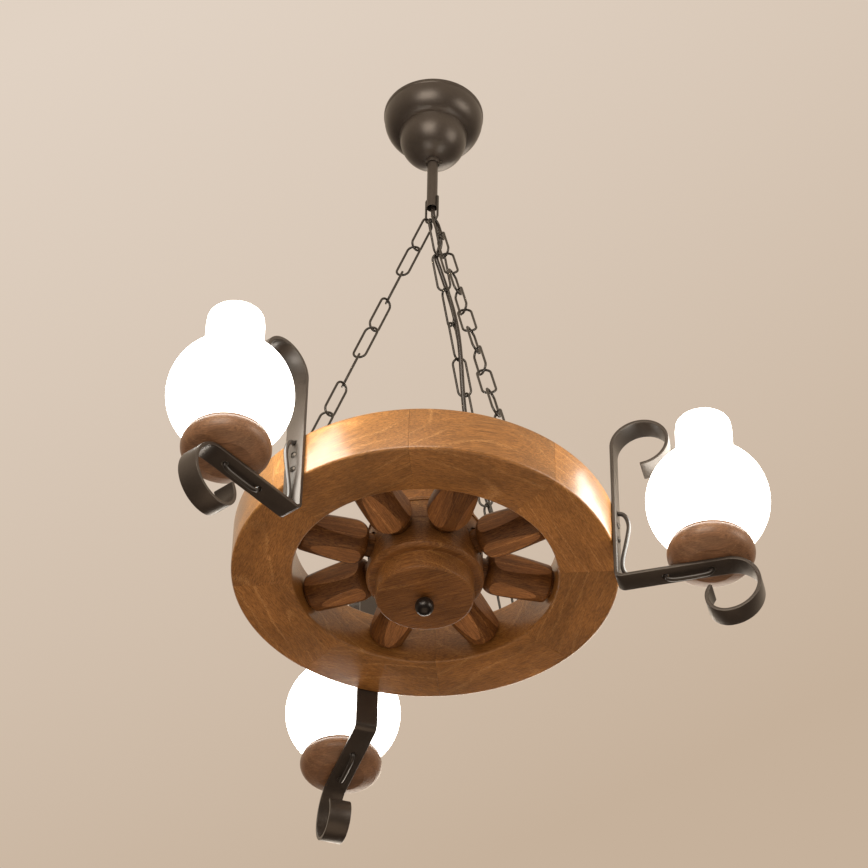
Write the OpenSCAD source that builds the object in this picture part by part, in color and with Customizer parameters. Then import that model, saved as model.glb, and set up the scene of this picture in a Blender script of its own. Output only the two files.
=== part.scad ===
// Wagon wheel chandelier with three lamps. Millimetres, ceiling at z = 0, the wheel hangs below it.

/* [Wheel] */
// Outer diameter of the wooden wheel
wheel_d = 420; // [400:2:450]
// Width of the rim, from its outer wall to its inner wall
rim_w = 66; // [60:1:70]
// Height of the rim
rim_h = 57; // [52:1:64]
// Radius of the rim's rounded edges
rim_edge_r = 3; // [1:0.5:4]
// Distance from the ceiling down to the underside of the rim
wheel_drop = 750; // [720:2:800]
// Direction of the first glued joint of the rim, in degrees
joint_turn = -95.5; // [-98:0.5:-92]
// Width of the wiring groove in the top of the rim
groove_w = 12; // [10:1:14]
// Depth of the wiring groove
groove_h = 14; // [12:1:16]
// Wood left between the outer wall and the wiring groove
groove_inset = 12; // [10:1:14]

/* [Spokes] */
// Diameter of a spoke at the hub end of its body
spoke_hub_d = 48; // [46:0.5:50]
// Diameter of a spoke at the rim end of its body
spoke_rim_d = 43; // [42.5:0.5:45]
// Distance across the flats that the square blank leaves on a spoke
spoke_flats = 42; // [41:0.1:42.4]
// Diameter of the neck next to the hub
spoke_neck_d = 26; // [22:0.5:28]
// Gap between the side of the hub and the body of a spoke
spoke_hub_gap = 1; // [0.5:0.5:4]
// Gap between the body of a spoke and the inner wall of the rim
spoke_rim_gap = 3; // [2.5:0.5:5]
// Height of the spokes and of the middle of the hub above the middle of the rim
spoke_up = 1.5; // [0:0.5:3]
// Diameter of the round tenons
tenon_d = 16; // [12:0.5:18]
// How deep a tenon goes into the rim
rim_tenon = 20; // [14:1:24]
// How deep a tenon goes into the hub
hub_tenon = 18; // [12:1:20]
// Diameter of the round socket in the hub in which the neck of a spoke stands
socket_d = 31; // [30:0.5:33]
// Depth of a socket at the middle of its width
socket_h = 3; // [2.5:0.1:4]

/* [Hub] */
// Diameter of the hub's body between its two flanges
hub_core_d = 126; // [122:1:127]
// Diameter of the hub's two flanges
hub_flange_d = 128; // [127.5:0.5:132]
// Thickness of a flange
hub_flange_h = 7; // [5:0.5:9]
// Diameter of the round caps above and below the flanges
hub_cap_d = 107; // [98:1:112]
// Height of a cap
hub_cap_h = 24; // [18:1:28]
// How far the lower flange reaches below the underside of the rim
hub_flange_drop = 5; // [3:0.5:8]
// Diameter of the ball under the hub
ball_d = 21; // [18:0.5:24]
// Diameter of the stud that holds the ball
stud_d = 6; // [5:0.5:8]

/* [Hanging] */
// Outer diameter of the canopy at the ceiling
canopy_d = 122; // [116:1:130]
// Thickness of the canopy's sheet metal
canopy_wall = 1; // [0.8:0.1:1.5]
// Radius of the canopy's rounded shoulder
shoulder_r = 28; // [24:1:30]
// Depth of the straight wall above the shoulder
canopy_skirt = 16; // [14:1:20]
// Radius of the ball-shaped lower part of the canopy
dome_r = 39.7; // [37:0.1:41]
// Outer diameter of the stem tube
stem_d = 13; // [12:0.5:14]
// Wall thickness of the stem tube
stem_wall = 0.8; // [0.6:0.1:1.2]
// Distance from the ceiling down to the open end of the stem
stem_drop = 167; // [155:1:180]
// Distance from the open end of the stem up to the bail's cross holes
pin_up = 17; // [14:1:22]
// Outer diameter of the lock collar
collar_d = 17.2; // [16.4:0.2:20]
// Height of the lock collar
collar_h = 6; // [5:0.5:8]
// Length of the ceiling strap, from end to end
strap_l = 106; // [104:1:110]
// Width of the ceiling strap
strap_w = 20; // [16:1:24]
// Thickness of the ceiling strap
strap_t = 2; // [1.5:0.5:3]
// Distance between the centres of the two slots
slot_pitch = 84; // [80:1:86]
// Width of a slot
slot_w = 5.2; // [4.2:0.1:6]
// Length of a slot
slot_l = 12; // [8:0.5:13]

/* [Chains] */
// Diameter of the wire of the links, the bail and the screw eyes
wire_d = 2.8; // [2.4:0.1:3]
// Outer width of a link
link_w = 18; // [17:0.5:20]
// Number of links in each chain
chain_links = 11; // [10:1:12]
// Distance from the rim's outer wall to the screw eyes
eye_inset = 34; // [32:1:38]
// Diameter of the ring of a screw eye, at the middle of its wire
eye_d = 10.4; // [10:0.2:12]
// Direction of the bail's plane, in degrees
bail_turn = -35; // [-40:1:-30]

/* [Brackets] */
// Directions of the left, right and far lamps, in degrees
lamp_turns = [-131, -16, 107]; // [-180:1:180]
// Distance from the rim's outer wall out to the axis of a lamp
lamp_out = 103; // [98:1:114]
// Width of the flat bar
bar_w = 25; // [22:0.5:28]
// Thickness of the flat bar
bar_t = 4; // [3:0.5:5]
// Distance from the underside of the rim down to the top of the arm
arm_drop = 47; // [44:1:52]
// Inside radius of the bend between leg and arm
bend_r = 4; // [3:0.5:5]
// Outside radius of the upper scroll
top_scroll_r = 33; // [30:0.5:34]
// Height of the upper scroll's centre above the underside of the rim
top_scroll_up = 134; // [128:1:140]
// Outside radius of the lower scroll
low_scroll_r = 36.5; // [34:0.5:39]
// Outside radius of the tighter end of the lower scroll
low_tip_r = 24; // [22:0.5:27]
// Distance from the lamp's axis out to the centre of the lower scroll
low_scroll_out = 16; // [12:1:20]

/* [Lamps] */
// Largest diameter of a wooden cup
cup_d = 94; // [90:1:98]
// Height of a cup
cup_h = 27; // [25:0.5:30]
// Thickness of the floor of a cup
cup_floor = 15; // [12:0.5:17]
// Diameter of the seat for the glass
cup_bore = 79; // [76:0.5:82]
// Outer diameter of the glass globe
globe_d = 133.4; // [128:0.2:136]
// Wall thickness of the glass
glass_wall = 3; // [2:0.25:4]
// Radius of the hollow between the globe and its chimney
glass_fillet = 6; // [4:0.5:9]
// How much thicker than the wall the glass is at the chimney's fire-polished mouth
mouth_bead = 0.4; // [0.2:0.1:1]
// Height of the globe's centre above the top of the arm
globe_up = 90; // [87:0.5:94]
// Outer diameter of the chimney on the globe
chimney_d = 62; // [58:0.5:66]
// Height of the chimney's mouth above the globe's centre
chimney_up = 109; // [102:1:116]
// Outer diameter of the glass collar that sits in the cup
fitter_d = 76; // [70:0.5:76.5]
// Outer diameter of a lamp holder
holder_d = 28; // [26:0.5:30]
// Height of a lamp holder
holder_h = 42; // [38:1:46]
// Diameter of a bulb
bulb_d = 45; // [42:0.5:48]
// Diameter of a bulb's screw cap
cap_d = 13.4; // [13:0.1:13.8]
// Outer diameter of the threaded tube under a lamp holder
nipple_d = 8; // [7.6:0.1:8.6]

/* [Wiring] */
// Diameter of the feed cable beside the chain
cable_d = 5.6; // [5:0.1:6]
// Diameter of the flex that runs to each lamp
flex_d = 3.4; // [3:0.1:3.8]

/* [Hidden] */

$fn = 96;
WIRE_FN = 32;
eps = 0.01;

// Clearances: a seat, a running fit, a glued tenon, and the play between links
seat_gap = 0.3;
run_gap = 0.08;
glue_gap = 0.1;
link_gap = 0.3;
hook_gap = 0.6;
rim_gap = 0.2;

// Names of the three lamps, in the order of lamp_turns
LAMPS = ["left", "right", "far"];
left = 0;
right = 1;
far = 2;

// Wheel
wheel_r = wheel_d / 2;
rim_in_r = wheel_r - rim_w;
rim_z = -wheel_drop;
rim_top_z = rim_z + rim_h;
segments = 8;
segment_angle = 360 / segments;
groove_mid_r = wheel_r - groove_inset - groove_w / 2;
groove_floor_z = rim_top_z - groove_h;
spoke_z = rim_z + rim_h / 2 + spoke_up;
spoke_round_r = 4;
// The blank of the first spoke was glued in with a corner up, the others with a flat up
first_spoke_roll = 45;
tenon_gap_d = tenon_d + 2 * glue_gap;

// Hub, the same above and below the spokes
hub_core_r = hub_core_d / 2;
hub_core_h = rim_h + 2 * (hub_flange_drop + spoke_up - hub_flange_h);
hub_seat_r = hub_core_r - socket_h;
spoke_body_at = hub_core_r + spoke_hub_gap;
hub_half_h = hub_core_h / 2 + hub_flange_h + hub_cap_h;
hub_bottom_z = spoke_z - hub_half_h;
stud_in = 24;
stud_out = 9;

// Hanging
bail_r = stem_d / 2 + 0.5 + wire_d / 2;
pin_z = -stem_drop + pin_up;
bail_leg = 33;
bail_z = pin_z - bail_leg;
bail_dir = [cos(bail_turn), sin(bail_turn), 0];
groove_z = -canopy_skirt - shoulder_r;
dome_flat_r = 9;
dome_bottom_z = groove_z - sqrt(pow(dome_r, 2) - pow(dome_flat_r, 2));
cable_side = stem_d / 2 - stem_wall - cable_d / 2 - seat_gap;
strap_low = 14;
strap_bend_at = 26;
nut_h = 5;
nut_across = 17;

// Chains: the direction of each, its place on the bail and the turn of its links
CHAIN_TURNS = [177, 57, -63];
CHAIN_SEATS = [-36, 0, 36];
FIRST_TURNS = [-50, 2, 60];
TURN_STEPS = [60, 60, -60];
eye_r = eye_d / 2;
eye_up = seat_gap + wire_d / 2 + 2 * eye_r;
eye_at_r = wheel_r - eye_inset;
eye_screw = 22;

// Brackets
lamp_at = wheel_r + lamp_out;
bar_in_r = wheel_r + rim_gap;
leg_out_r = bar_in_r + bar_t;
arm_z = rim_z - arm_drop;
top_scroll_at = bar_in_r + top_scroll_r;
low_scroll_at = lamp_at + low_scroll_out;
low_tip_from = 140;
SCREW_UPS = [10, 30];
wire_hole_up = 47;
wire_hole_r = 3.5;
flex_hole_r = 4;
flex_hole_in = 50;
screw_d = 3.8;
screw_head_d = 7.6;
screw_head_h = 2.4;
screw_l = 25;

// Lamps
cup_top_z = arm_z + cup_h;
cup_seat_z = arm_z + cup_floor;
cup_lip = 5;
globe_z = arm_z + globe_up;
globe_r = globe_d / 2;
cup_nut_h = 5;
cup_nut_across = 13;
nipple_bore = 5.5;
nipple_in = 8;
holder_z = cup_seat_z + cup_nut_h + seat_gap;
holder_wall = 6.9;
bulb_cap_l = 24;
bulb_neck_l = 10;

// Route of the flex at each lamp: distance from the rim's outer wall, height above its underside
FLEX_ROUTE = [
    [-16, 47], [3, 47], [12, 42], [16, 27], [13, 6], [7.5, -18], [7.5, -33], [13, -43],
    [26, -45], [44, -45], [51.5, -46.6], [55, -51.5], [61, -55], [77, -55.8], [93, -55.3],
    [101.8, -53.6], [103, -48], [103, -34]
];
// Route of the feed cable from the stem's mouth past the bail: sideways from the cable above, down from the ceiling
FEED_TOP = [[0, 168.8], [0.4, 175], [2.6, 181.5], [7, 186.6], [11, 192], [14, 201]];
// Its route along the first link: distance down the chain, distance from its axis, turn round it
FEED_JOIN = [[24, 12.6, 182], [36, 11.4, 160]];
// Its route off the last link: outwards, sideways and upwards from the top of the screw eye
FEED_END = [[-12, 13, 26], [-2, 19, 10], [10, 22, 1.5], [15.6, 22, -6], [16, 22, -17]];
feed_winding_r = 5.5;
feed_steps = 3;
feed_turn = FIRST_TURNS[1] + 2 * TURN_STEPS[1];

// ---------- helpers ----------

function unit(v) = v / norm(v);
function flat_turn(v) = atan2(v[1], v[0]);
function polar(r, turn, z = 0) = [r * cos(turn), r * sin(turn), z];

// A round tube swept along a list of points, as one closed polyhedron
module swept_tube(points, d, sides, side_ref) {
    last = len(points) - 1;
    function heading(i) = unit(points[min(i + 1, last)] - points[max(i - 1, 0)]);
    function across(i) = unit(cross(side_ref, heading(i)));
    function ring(i) = let (a = across(i), b = cross(heading(i), a))
        [for (k = [0:sides - 1]) points[i] + d / 2 * (cos(k * 360 / sides) * a + sin(k * 360 / sides) * b)];
    corners = concat([for (i = [0:last]) each ring(i)], [points[0], points[last]]);
    head = len(corners) - 2;
    tail = len(corners) - 1;
    faces = concat(
        [for (i = [0:last - 1], k = [0:sides - 1])
            let (n = (k + 1) % sides, p = i * sides, q = p + sides)
            each [[p + k, q + n, p + n], [p + k, q + k, q + n]]],
        [for (k = [0:sides - 1]) [head, k, (k + 1) % sides]],
        [for (k = [0:sides - 1]) [tail, last * sides + (k + 1) % sides, last * sides + k]]
    );
    polyhedron(corners, faces);
}

// A rectangle with rounded corners, from its lower left corner
module rounded_box_2d(w, h, r) {
    square_in = [w - 2 * r, h - 2 * r];
    translate([r, 0]) square([square_in[0], h]);
    translate([0, r]) square([w, square_in[1]]);
    for (x = [r, w - r], y = [r, h - r])
        translate([x, y]) circle(r);
}

// A sector of a flat ring, between two directions
module ring_sector_2d(out_r, in_r, from, to) {
    reach = 2 * out_r;
    steps = ceil((to - from) / 60);
    difference() {
        circle(out_r);
        circle(in_r);
        difference() {
            square(4 * out_r, center = true);
            polygon(concat([[0, 0]],
                [for (i = [0:steps]) let (a = from + (to - from) * i / steps) reach * [cos(a), sin(a)]]));
        }
    }
}

// A threaded tube or rod is drawn at its outer diameter
module rod(d, h) cylinder(d = d, h = h, $fn = WIRE_FN);

module hex_nut(across, h, bore) {
    difference() {
        cylinder(d = across / cos(30), h = h, $fn = 6);
        translate([0, 0, -eps]) cylinder(d = bore, h = h + 2 * eps, $fn = WIRE_FN);
    }
}

module at_lamp(k) rotate(lamp_turns[k]) children();
module on_lamp_axis(k) at_lamp(k) translate([lamp_at, 0, 0]) children();

// ---------- ceiling ----------

module strap_side() {
    translate([strap_bend_at, -strap_w / 2, -strap_t])
        difference() {
            cube([strap_l / 2 - strap_bend_at, strap_w, strap_t]);
            translate([slot_pitch / 2 - strap_bend_at, strap_w / 2, -eps])
                for (dx = [-1, 1] * (slot_l - slot_w) / 2)
                    translate([dx, 0, 0]) cylinder(d = slot_w, h = strap_t + 2 * eps);
            translate([slot_pitch / 2 - strap_bend_at - (slot_l - slot_w) / 2, (strap_w - slot_w) / 2, -eps])
                cube([slot_l - slot_w, slot_w, strap_t + 2 * eps]);
        }
    translate([strap_bend_at - strap_t, -strap_w / 2, -strap_low - strap_t])
        cube([strap_t, strap_w, strap_low + strap_t]);
}

module ceiling_strap() color("silver") {
    difference() {
        union() {
            strap_side();
            mirror([1, 0, 0]) strap_side();
            translate([-strap_bend_at, -strap_w / 2, -strap_low - strap_t])
                cube([2 * strap_bend_at, strap_w, strap_t]);
        }
        translate([0, 0, -strap_low - strap_t - eps])
            cylinder(d = stem_d + 0.4, h = strap_t + 2 * eps);
    }
}

module stem_tube() color("dimgray") {
    difference() {
        translate([0, 0, -stem_drop]) cylinder(d = stem_d, h = stem_drop - strap_low + nut_h + 3);
        translate([0, 0, -stem_drop - eps])
            cylinder(d = stem_d - 2 * stem_wall, h = stem_drop);
        translate([0, 0, pin_z]) rotate([0, 0, bail_turn]) rotate([0, 90, 0])
            translate([0, 0, -stem_d]) cylinder(d = wire_d + 2 * run_gap, h = 2 * stem_d, $fn = WIRE_FN);
    }
}

module stem_nuts() color("silver") {
    for (z = [-strap_low, -strap_low - strap_t - nut_h])
        translate([0, 0, z]) hex_nut(nut_across, nut_h, stem_d);
}

module terminal_block() color("white") {
    pole_w = 8;
    poles = 2;
    block = [poles * pole_w, 17, 11];
    translate([-strap_bend_at + strap_t + pole_w / 2, 0, -strap_low - strap_t - block[2]])
        difference() {
            translate([-pole_w / 2, -block[1] / 2, 0]) cube([pole_w, block[1], block[2]]);
            for (dy = [-1, 1] * block[1] / 4)
                translate([0, dy, -eps]) cylinder(d = 3, h = block[2] - 4);
            translate([0, -block[1] / 2 - eps, block[2] / 2]) rotate([-90, 0, 0])
                cylinder(d = 2.6, h = block[1] + 2 * eps, $fn = WIRE_FN);
        }
}

// The cable inside the stem lies against one side of it, from the mouth up past the open top
module stem_cable() color("black")
    rotate(bail_turn) translate([0, cable_side, -stem_drop]) rod(cable_d, stem_drop - 1);

// Outline of the canopy, drawn inwards by the given amount
module canopy_outline(inset) {
    difference() {
        union() {
            translate([0, -canopy_skirt]) square([canopy_d / 2 - inset, canopy_skirt]);
            translate([canopy_d / 2 - shoulder_r, -canopy_skirt]) circle(shoulder_r - inset);
            translate([0, groove_z + inset]) square([canopy_d / 2 - shoulder_r, shoulder_r]);
            translate([0, groove_z]) circle(dome_r - inset);
        }
        translate([-canopy_d, groove_z - dome_r]) square([canopy_d, 2 * dome_r]);
        translate([-canopy_d, 0]) square([2 * canopy_d, 2 * canopy_d]);
        translate([-canopy_d, dome_bottom_z + inset - canopy_d]) square([2 * canopy_d, canopy_d]);
    }
}

module canopy() color("#4a423b") {
    rim_band = 7;
    rim_out = 0.8;
    difference() {
        rotate_extrude() difference() {
            union() {
                canopy_outline(0);
                translate([canopy_d / 2 - canopy_wall, -rim_band]) square([canopy_wall + rim_out, rim_band]);
            }
            canopy_outline(canopy_wall);
            translate([0, -eps]) square([canopy_d / 2 - canopy_wall, 2 * eps]);
        }
        translate([0, 0, dome_bottom_z - dome_r]) cylinder(d = stem_d + 1, h = 2 * dome_r);
    }
}

module canopy_collar() color("#4a423b") {
    recess = 1.5;
    translate([0, 0, dome_bottom_z - collar_h]) difference() {
        rotate_extrude() rounded_box_2d(collar_d / 2, collar_h, 0.8);
        translate([0, 0, -eps]) cylinder(d = stem_d + 2 * run_gap, h = collar_h + 2 * eps);
        translate([0, 0, -eps]) cylinder(d = collar_d - 2, h = recess);
        translate([0, 0, collar_h / 2 + recess / 2]) rotate([0, 90, 0])
            cylinder(d = 2.6, h = collar_d, $fn = WIRE_FN);
    }
}

module collar_screw() color("#3a3430")
    translate([stem_d / 2 + seat_gap, 0, dome_bottom_z - collar_h / 2 + 0.75]) rotate([0, 90, 0]) {
        rod(2.5, 3.4);
        translate([0, 0, collar_d / 2 - stem_d / 2 + 0.1]) rod(4.4, 2.2);
    }

// ---------- bail, chains and eyes ----------

// The bail hangs in the stem's cross holes by its two turned-in ends
module hanging_bail() color("#3a3430")
    translate([0, 0, bail_z]) rotate(bail_turn) {
        rotate([-90, 0, 0]) rotate_extrude(angle = 180, $fn = 64)
            translate([bail_r, 0]) circle(d = wire_d, $fn = WIRE_FN);
        for (side = [-1, 1]) {
            translate([side * bail_r, 0, 0]) rod(wire_d, bail_leg);
            translate([side * bail_r, 0, bail_leg]) sphere(d = wire_d, $fn = WIRE_FN);
            translate([side * bail_r, 0, bail_leg]) rotate([0, -90 * side, 0])
                rod(wire_d, bail_r - stem_d / 2 + stem_wall + 0.8);
        }
    }

// Chain geometry: where it hangs on the bail, where it ends, and the frame along it
function chain_start(k) = [0, 0, bail_z]
    + bail_r * (sin(CHAIN_SEATS[k]) * bail_dir - [0, 0, cos(CHAIN_SEATS[k])]);
function chain_end(k) = polar(eye_at_r, CHAIN_TURNS[k], rim_top_z + eye_up);
function chain_dir(k) = unit(chain_end(k) - chain_start(k));
function chain_lean(k) = acos(chain_dir(k)[2]);
function chain_turn(k) = flat_turn(chain_dir(k));
function chain_x(k) = let (t = chain_turn(k), a = chain_lean(k)) [cos(t) * cos(a), sin(t) * cos(a), -sin(a)];
function chain_y(k) = [-sin(chain_turn(k)), cos(chain_turn(k)), 0];
function link_pitch(k) = (norm(chain_end(k) - chain_start(k)) + wire_d + 2 * hook_gap - link_gap) / chain_links;
function link_inner(k) = link_pitch(k) + link_gap;
function link_mid(k, i) = link_inner(k) / 2 - wire_d / 2 - hook_gap + i * link_pitch(k);
function link_turn(k, i) = FIRST_TURNS[k] + TURN_STEPS[k] * i;
function link_normal(k, i) = let (t = link_turn(k, i)) -sin(t) * chain_x(k) + cos(t) * chain_y(k);

// One oblong link, upright and centred
module chain_link(inner) {
    bend = (link_w - wire_d) / 2;
    half = (inner + wire_d) / 2 - bend;
    for (end = [0, 1])
        mirror([0, 0, end]) translate([0, 0, half]) rotate([90, 0, 0])
            rotate_extrude(angle = 180, $fn = 48) translate([bend, 0]) circle(d = wire_d, $fn = WIRE_FN);
    for (side = [-1, 1])
        translate([side * bend, 0, -half]) rod(wire_d, 2 * half);
}

module chain(k) color("#3a3430")
    for (i = [0:chain_links - 1])
        translate(chain_start(k) + chain_dir(k) * link_mid(k, i))
            rotate([0, chain_lean(k), chain_turn(k)]) rotate(link_turn(k, i)) chain_link(link_inner(k));

module chain_left() chain(0);
module chain_far() chain(1);
module chain_near() chain(2);

module screw_eyes() color("#3a3430")
    for (k = [0:2])
        translate(chain_end(k) - [0, 0, eye_r]) rotate(flat_turn(link_normal(k, chain_links - 1))) {
            rotate([90, 0, 0]) rotate_extrude($fn = 64) translate([eye_r, 0]) circle(d = wire_d, $fn = WIRE_FN);
            translate([0, 0, -eye_r - wire_d / 2 - seat_gap - eye_screw])
                rod(wire_d, eye_screw + wire_d / 2 + seat_gap);
        }

// ---------- wiring ----------

// A point beside the far chain: distance down it, distance from its axis, turn round it
function beside_chain(s, r, turn) = chain_start(1) + chain_dir(1) * s
    + r * (cos(turn) * chain_x(1) + sin(turn) * chain_y(1));

// The cable winds down the chain in the hollows between the links
function winding() = let (pitch = link_pitch(1), first = pitch - wire_d / 2, last_step = (chain_links - 2) * feed_steps)
    [for (i = [0:last_step])
        beside_chain(first + i * pitch / feed_steps, feed_winding_r, feed_turn + TURN_STEPS[1] * i / feed_steps)];

function feed_route() = let (
        away = [-bail_dir[1], bail_dir[0], 0],
        out = polar(1, CHAIN_TURNS[1]),
        aside = [out[1], -out[0], 0])
    concat(
        [for (p = FEED_TOP) away * (cable_side + p[0]) - [0, 0, p[1]]],
        [for (p = FEED_JOIN) beside_chain(p[0], p[1], p[2])],
        winding(),
        [for (p = FEED_END) chain_end(1) + out * p[0] + aside * p[1] + [0, 0, p[2]]]
    );

module feed_cable() color("#2b2724") swept_tube(feed_route(), cable_d, 10, [1, 0, 0]);

connector_turn = CHAIN_TURNS[1] - 6.5;
connector = [11, 22, 8.5];

// Flex in the groove, from the connector round to the lamps
module rim_wiring() color("#2b2724") {
    past_block = asin((connector[1] / 2 + 1) / groove_mid_r);
    for (arc = [[lamp_turns[left], connector_turn - past_block], [connector_turn + past_block, lamp_turns[far]]])
        rotate(arc[0]) translate([0, 0, groove_floor_z + flex_d / 2 + seat_gap])
            rotate_extrude(angle = arc[1] - arc[0]) translate([groove_mid_r, 0]) circle(d = flex_d, $fn = WIRE_FN);
}

module rim_connector() color("white")
    rotate(connector_turn) translate([groove_mid_r - connector[0] / 2, -connector[1] / 2, groove_floor_z])
        difference() {
            cube(connector);
            for (y = [0.25, 0.75])
                translate([connector[0] / 2, connector[1] * y, connector[2] - 4])
                    cylinder(d = 4, h = 5, $fn = WIRE_FN);
        }

module lamp_wire(k) color("#2b2724") at_lamp(k)
    swept_tube([for (p = FLEX_ROUTE) [wheel_r + p[0], 0, rim_z + p[1]]], flex_d, 8, [0, 1, 0]);

// ---------- wheel ----------

module rim_profile() {
    difference() {
        translate([rim_in_r, 0]) rounded_box_2d(rim_w, rim_h, rim_edge_r);
        translate([groove_mid_r - groove_w / 2, rim_h - groove_h]) square([groove_w, groove_h + eps]);
    }
}

// Everything that is bored into the rim: mortises, screws, screw eyes and the three wire holes
module rim_bores() {
    for (n = [1:segments])
        at_spoke(n) translate([0, 0, rim_in_r - 5]) cylinder(d = tenon_gap_d, h = rim_tenon + 5.5);
    for (k = [left, right, far])
        at_lamp(k) translate([0, 0, rim_z]) {
            for (up = SCREW_UPS)
                translate([leg_out_r - screw_l - 0.5, 0, up]) rotate([0, 90, 0])
                    cylinder(d = screw_d + 2 * glue_gap, h = screw_l, $fn = WIRE_FN);
            translate([groove_mid_r, 0, wire_hole_up]) rotate([0, 90, 0])
                cylinder(r = wire_hole_r - 0.5, h = rim_w, $fn = WIRE_FN);
        }
    for (k = [0:2])
        translate(polar(eye_at_r, CHAIN_TURNS[k], rim_top_z - eye_screw - 0.5))
            cylinder(d = wire_d + 2 * glue_gap, h = eye_screw + 1, $fn = WIRE_FN);
}

// One glued segment of the rim, from its joint to the next
module felloe(n) color("#b9854c")
    difference() {
        translate([0, 0, rim_z]) rotate(joint_turn + (n - 1) * segment_angle)
            rotate_extrude(angle = segment_angle) rim_profile();
        rim_bores();
    }

// Turns a piece that stands along +Z to point outwards as a spoke does
module at_spoke(n)
    translate([0, 0, spoke_z]) rotate(joint_turn + (n - 0.5) * segment_angle) rotate([0, 90, 0]) children();

// Outline of a turned spoke: neck, rounded shoulder, taper and tenons
module spoke_profile() {
    rim_r = spoke_rim_d / 2;
    shoulder = spoke_hub_d / 2 - spoke_neck_d / 2;
    foot_r = rim_r - spoke_round_r - 2;
    foot_end = sqrt(pow(rim_in_r, 2) - pow(foot_r, 2)) - seat_gap;
    taper_end = rim_in_r - spoke_rim_gap - spoke_round_r;
    translate([0, hub_seat_r - hub_tenon]) square([tenon_d / 2, rim_in_r + rim_tenon - hub_seat_r + hub_tenon]);
    translate([0, hub_seat_r + seat_gap]) square([spoke_neck_d / 2, spoke_body_at + shoulder - hub_seat_r]);
    translate([0, spoke_body_at]) intersection() {
        translate([spoke_neck_d / 2, shoulder]) circle(shoulder);
        square([spoke_hub_d, shoulder]);
    }
    polygon([
        [0, spoke_body_at + shoulder], [spoke_hub_d / 2, spoke_body_at + shoulder],
        [rim_r, taper_end], [0, taper_end]
    ]);
    translate([rim_r - spoke_round_r, taper_end]) circle(spoke_round_r);
    translate([0, taper_end - 1]) square([rim_r - spoke_round_r, spoke_round_r + 1]);
    translate([0, taper_end]) square([foot_r, foot_end - taper_end]);
}

// The square blank leaves four flats, shaped like leaves, on the tapered body
module spoke(n) color("#8a5a34")
    at_spoke(n) rotate(n == 1 ? first_spoke_roll : 0) intersection() {
        rotate_extrude() spoke_profile();
        translate([0, 0, rim_in_r / 2 + hub_core_r / 2])
            cube([spoke_flats, spoke_flats, 2 * rim_in_r], center = true);
    }

// Half of the hub's outline, from the middle of its core down to its cap
module hub_half_profile() {
    edge = 3;
    flange_edge = 2.4;
    low = hub_core_h / 2;
    translate([0, -low - 1]) square([hub_core_r, low + 1]);
    translate([0, -low - hub_flange_h]) rounded_box_2d(hub_flange_d / 2, hub_flange_h, flange_edge);
    translate([0, -low - hub_flange_h]) square([flange_edge, hub_flange_h]);
    translate([0, -low - hub_flange_h - hub_cap_h]) {
        rounded_box_2d(hub_cap_d / 2, hub_cap_h + edge, edge);
        square([edge, hub_cap_h]);
    }
}

module hub() color("#8a5a34")
    difference() {
        translate([0, 0, spoke_z]) for (up = [0, 1])
            mirror([0, 0, up]) rotate_extrude() hub_half_profile();
        for (n = [1:segments])
            at_spoke(n) {
                translate([0, 0, hub_seat_r - hub_tenon - 0.5]) cylinder(d = tenon_gap_d, h = hub_core_r);
                translate([0, 0, hub_seat_r]) cylinder(d = socket_d, h = hub_core_r);
            }
        translate([0, 0, hub_bottom_z - eps]) cylinder(d = stud_d + 2 * glue_gap, h = stud_in + 0.5, $fn = WIRE_FN);
    }

module hub_stud() color("silver")
    translate([0, 0, hub_bottom_z - stud_out]) rod(stud_d, stud_out + stud_in);

module finial_ball() color("#26221f") {
    ball_z = hub_bottom_z - ball_d / 2 + 0.6;
    difference() {
        translate([0, 0, ball_z]) sphere(d = ball_d);
        translate([-ball_d, -ball_d, hub_bottom_z - seat_gap]) cube([2 * ball_d, 2 * ball_d, ball_d]);
        translate([0, 0, hub_bottom_z - stud_out - 0.5])
            cylinder(d = stud_d + 2 * run_gap, h = stud_out + 2, $fn = WIRE_FN);
    }
}

// ---------- brackets ----------

// Side view of a bracket: x is the distance from the wheel's axis, y the height above the rim's underside
module bracket_profile() {
    bend_out = bend_r + bar_t;
    bend_x = bar_in_r + bend_out;
    bend_y = -arm_drop + bend_r;
    low_tip_y = -arm_drop - 2 * low_scroll_r + low_tip_r;
    translate([bar_in_r, bend_y]) square([bar_t, top_scroll_up - bend_y]);
    translate([bend_x, bend_y]) ring_sector_2d(bend_out, bend_r, 180, 270);
    translate([bend_x, -arm_drop - bar_t]) square([low_scroll_at - bend_x, bar_t]);
    translate([top_scroll_at, top_scroll_up])
        ring_sector_2d(top_scroll_r, top_scroll_r - bar_t, -90, 180);
    translate([low_scroll_at, -arm_drop - low_scroll_r])
        ring_sector_2d(low_scroll_r, low_scroll_r - bar_t, -90, 90);
    translate([low_scroll_at, low_tip_y])
        ring_sector_2d(low_tip_r, low_tip_r - bar_t, low_tip_from, 270);
}

module bracket(k) color("#4a423b")
    at_lamp(k) translate([0, 0, rim_z]) difference() {
        rotate([90, 0, 0]) translate([0, 0, -bar_w / 2]) linear_extrude(bar_w) bracket_profile();
        for (up = SCREW_UPS)
            translate([bar_in_r - 1, 0, up]) rotate([0, 90, 0])
                cylinder(d = screw_d + 0.6, h = bar_t + 2, $fn = WIRE_FN);
        translate([bar_in_r - 1, 0, wire_hole_up]) rotate([0, 90, 0])
            cylinder(r = wire_hole_r, h = bar_t + 2, $fn = WIRE_FN);
        translate([lamp_at - flex_hole_in, 0, -arm_drop - bar_t - 1])
            cylinder(r = flex_hole_r, h = bar_t + 2, $fn = WIRE_FN);
        translate([lamp_at, 0, -arm_drop - bar_t - 1])
            cylinder(d = nipple_d + 2 * glue_gap, h = bar_t + 2, $fn = WIRE_FN);
    }

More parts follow.
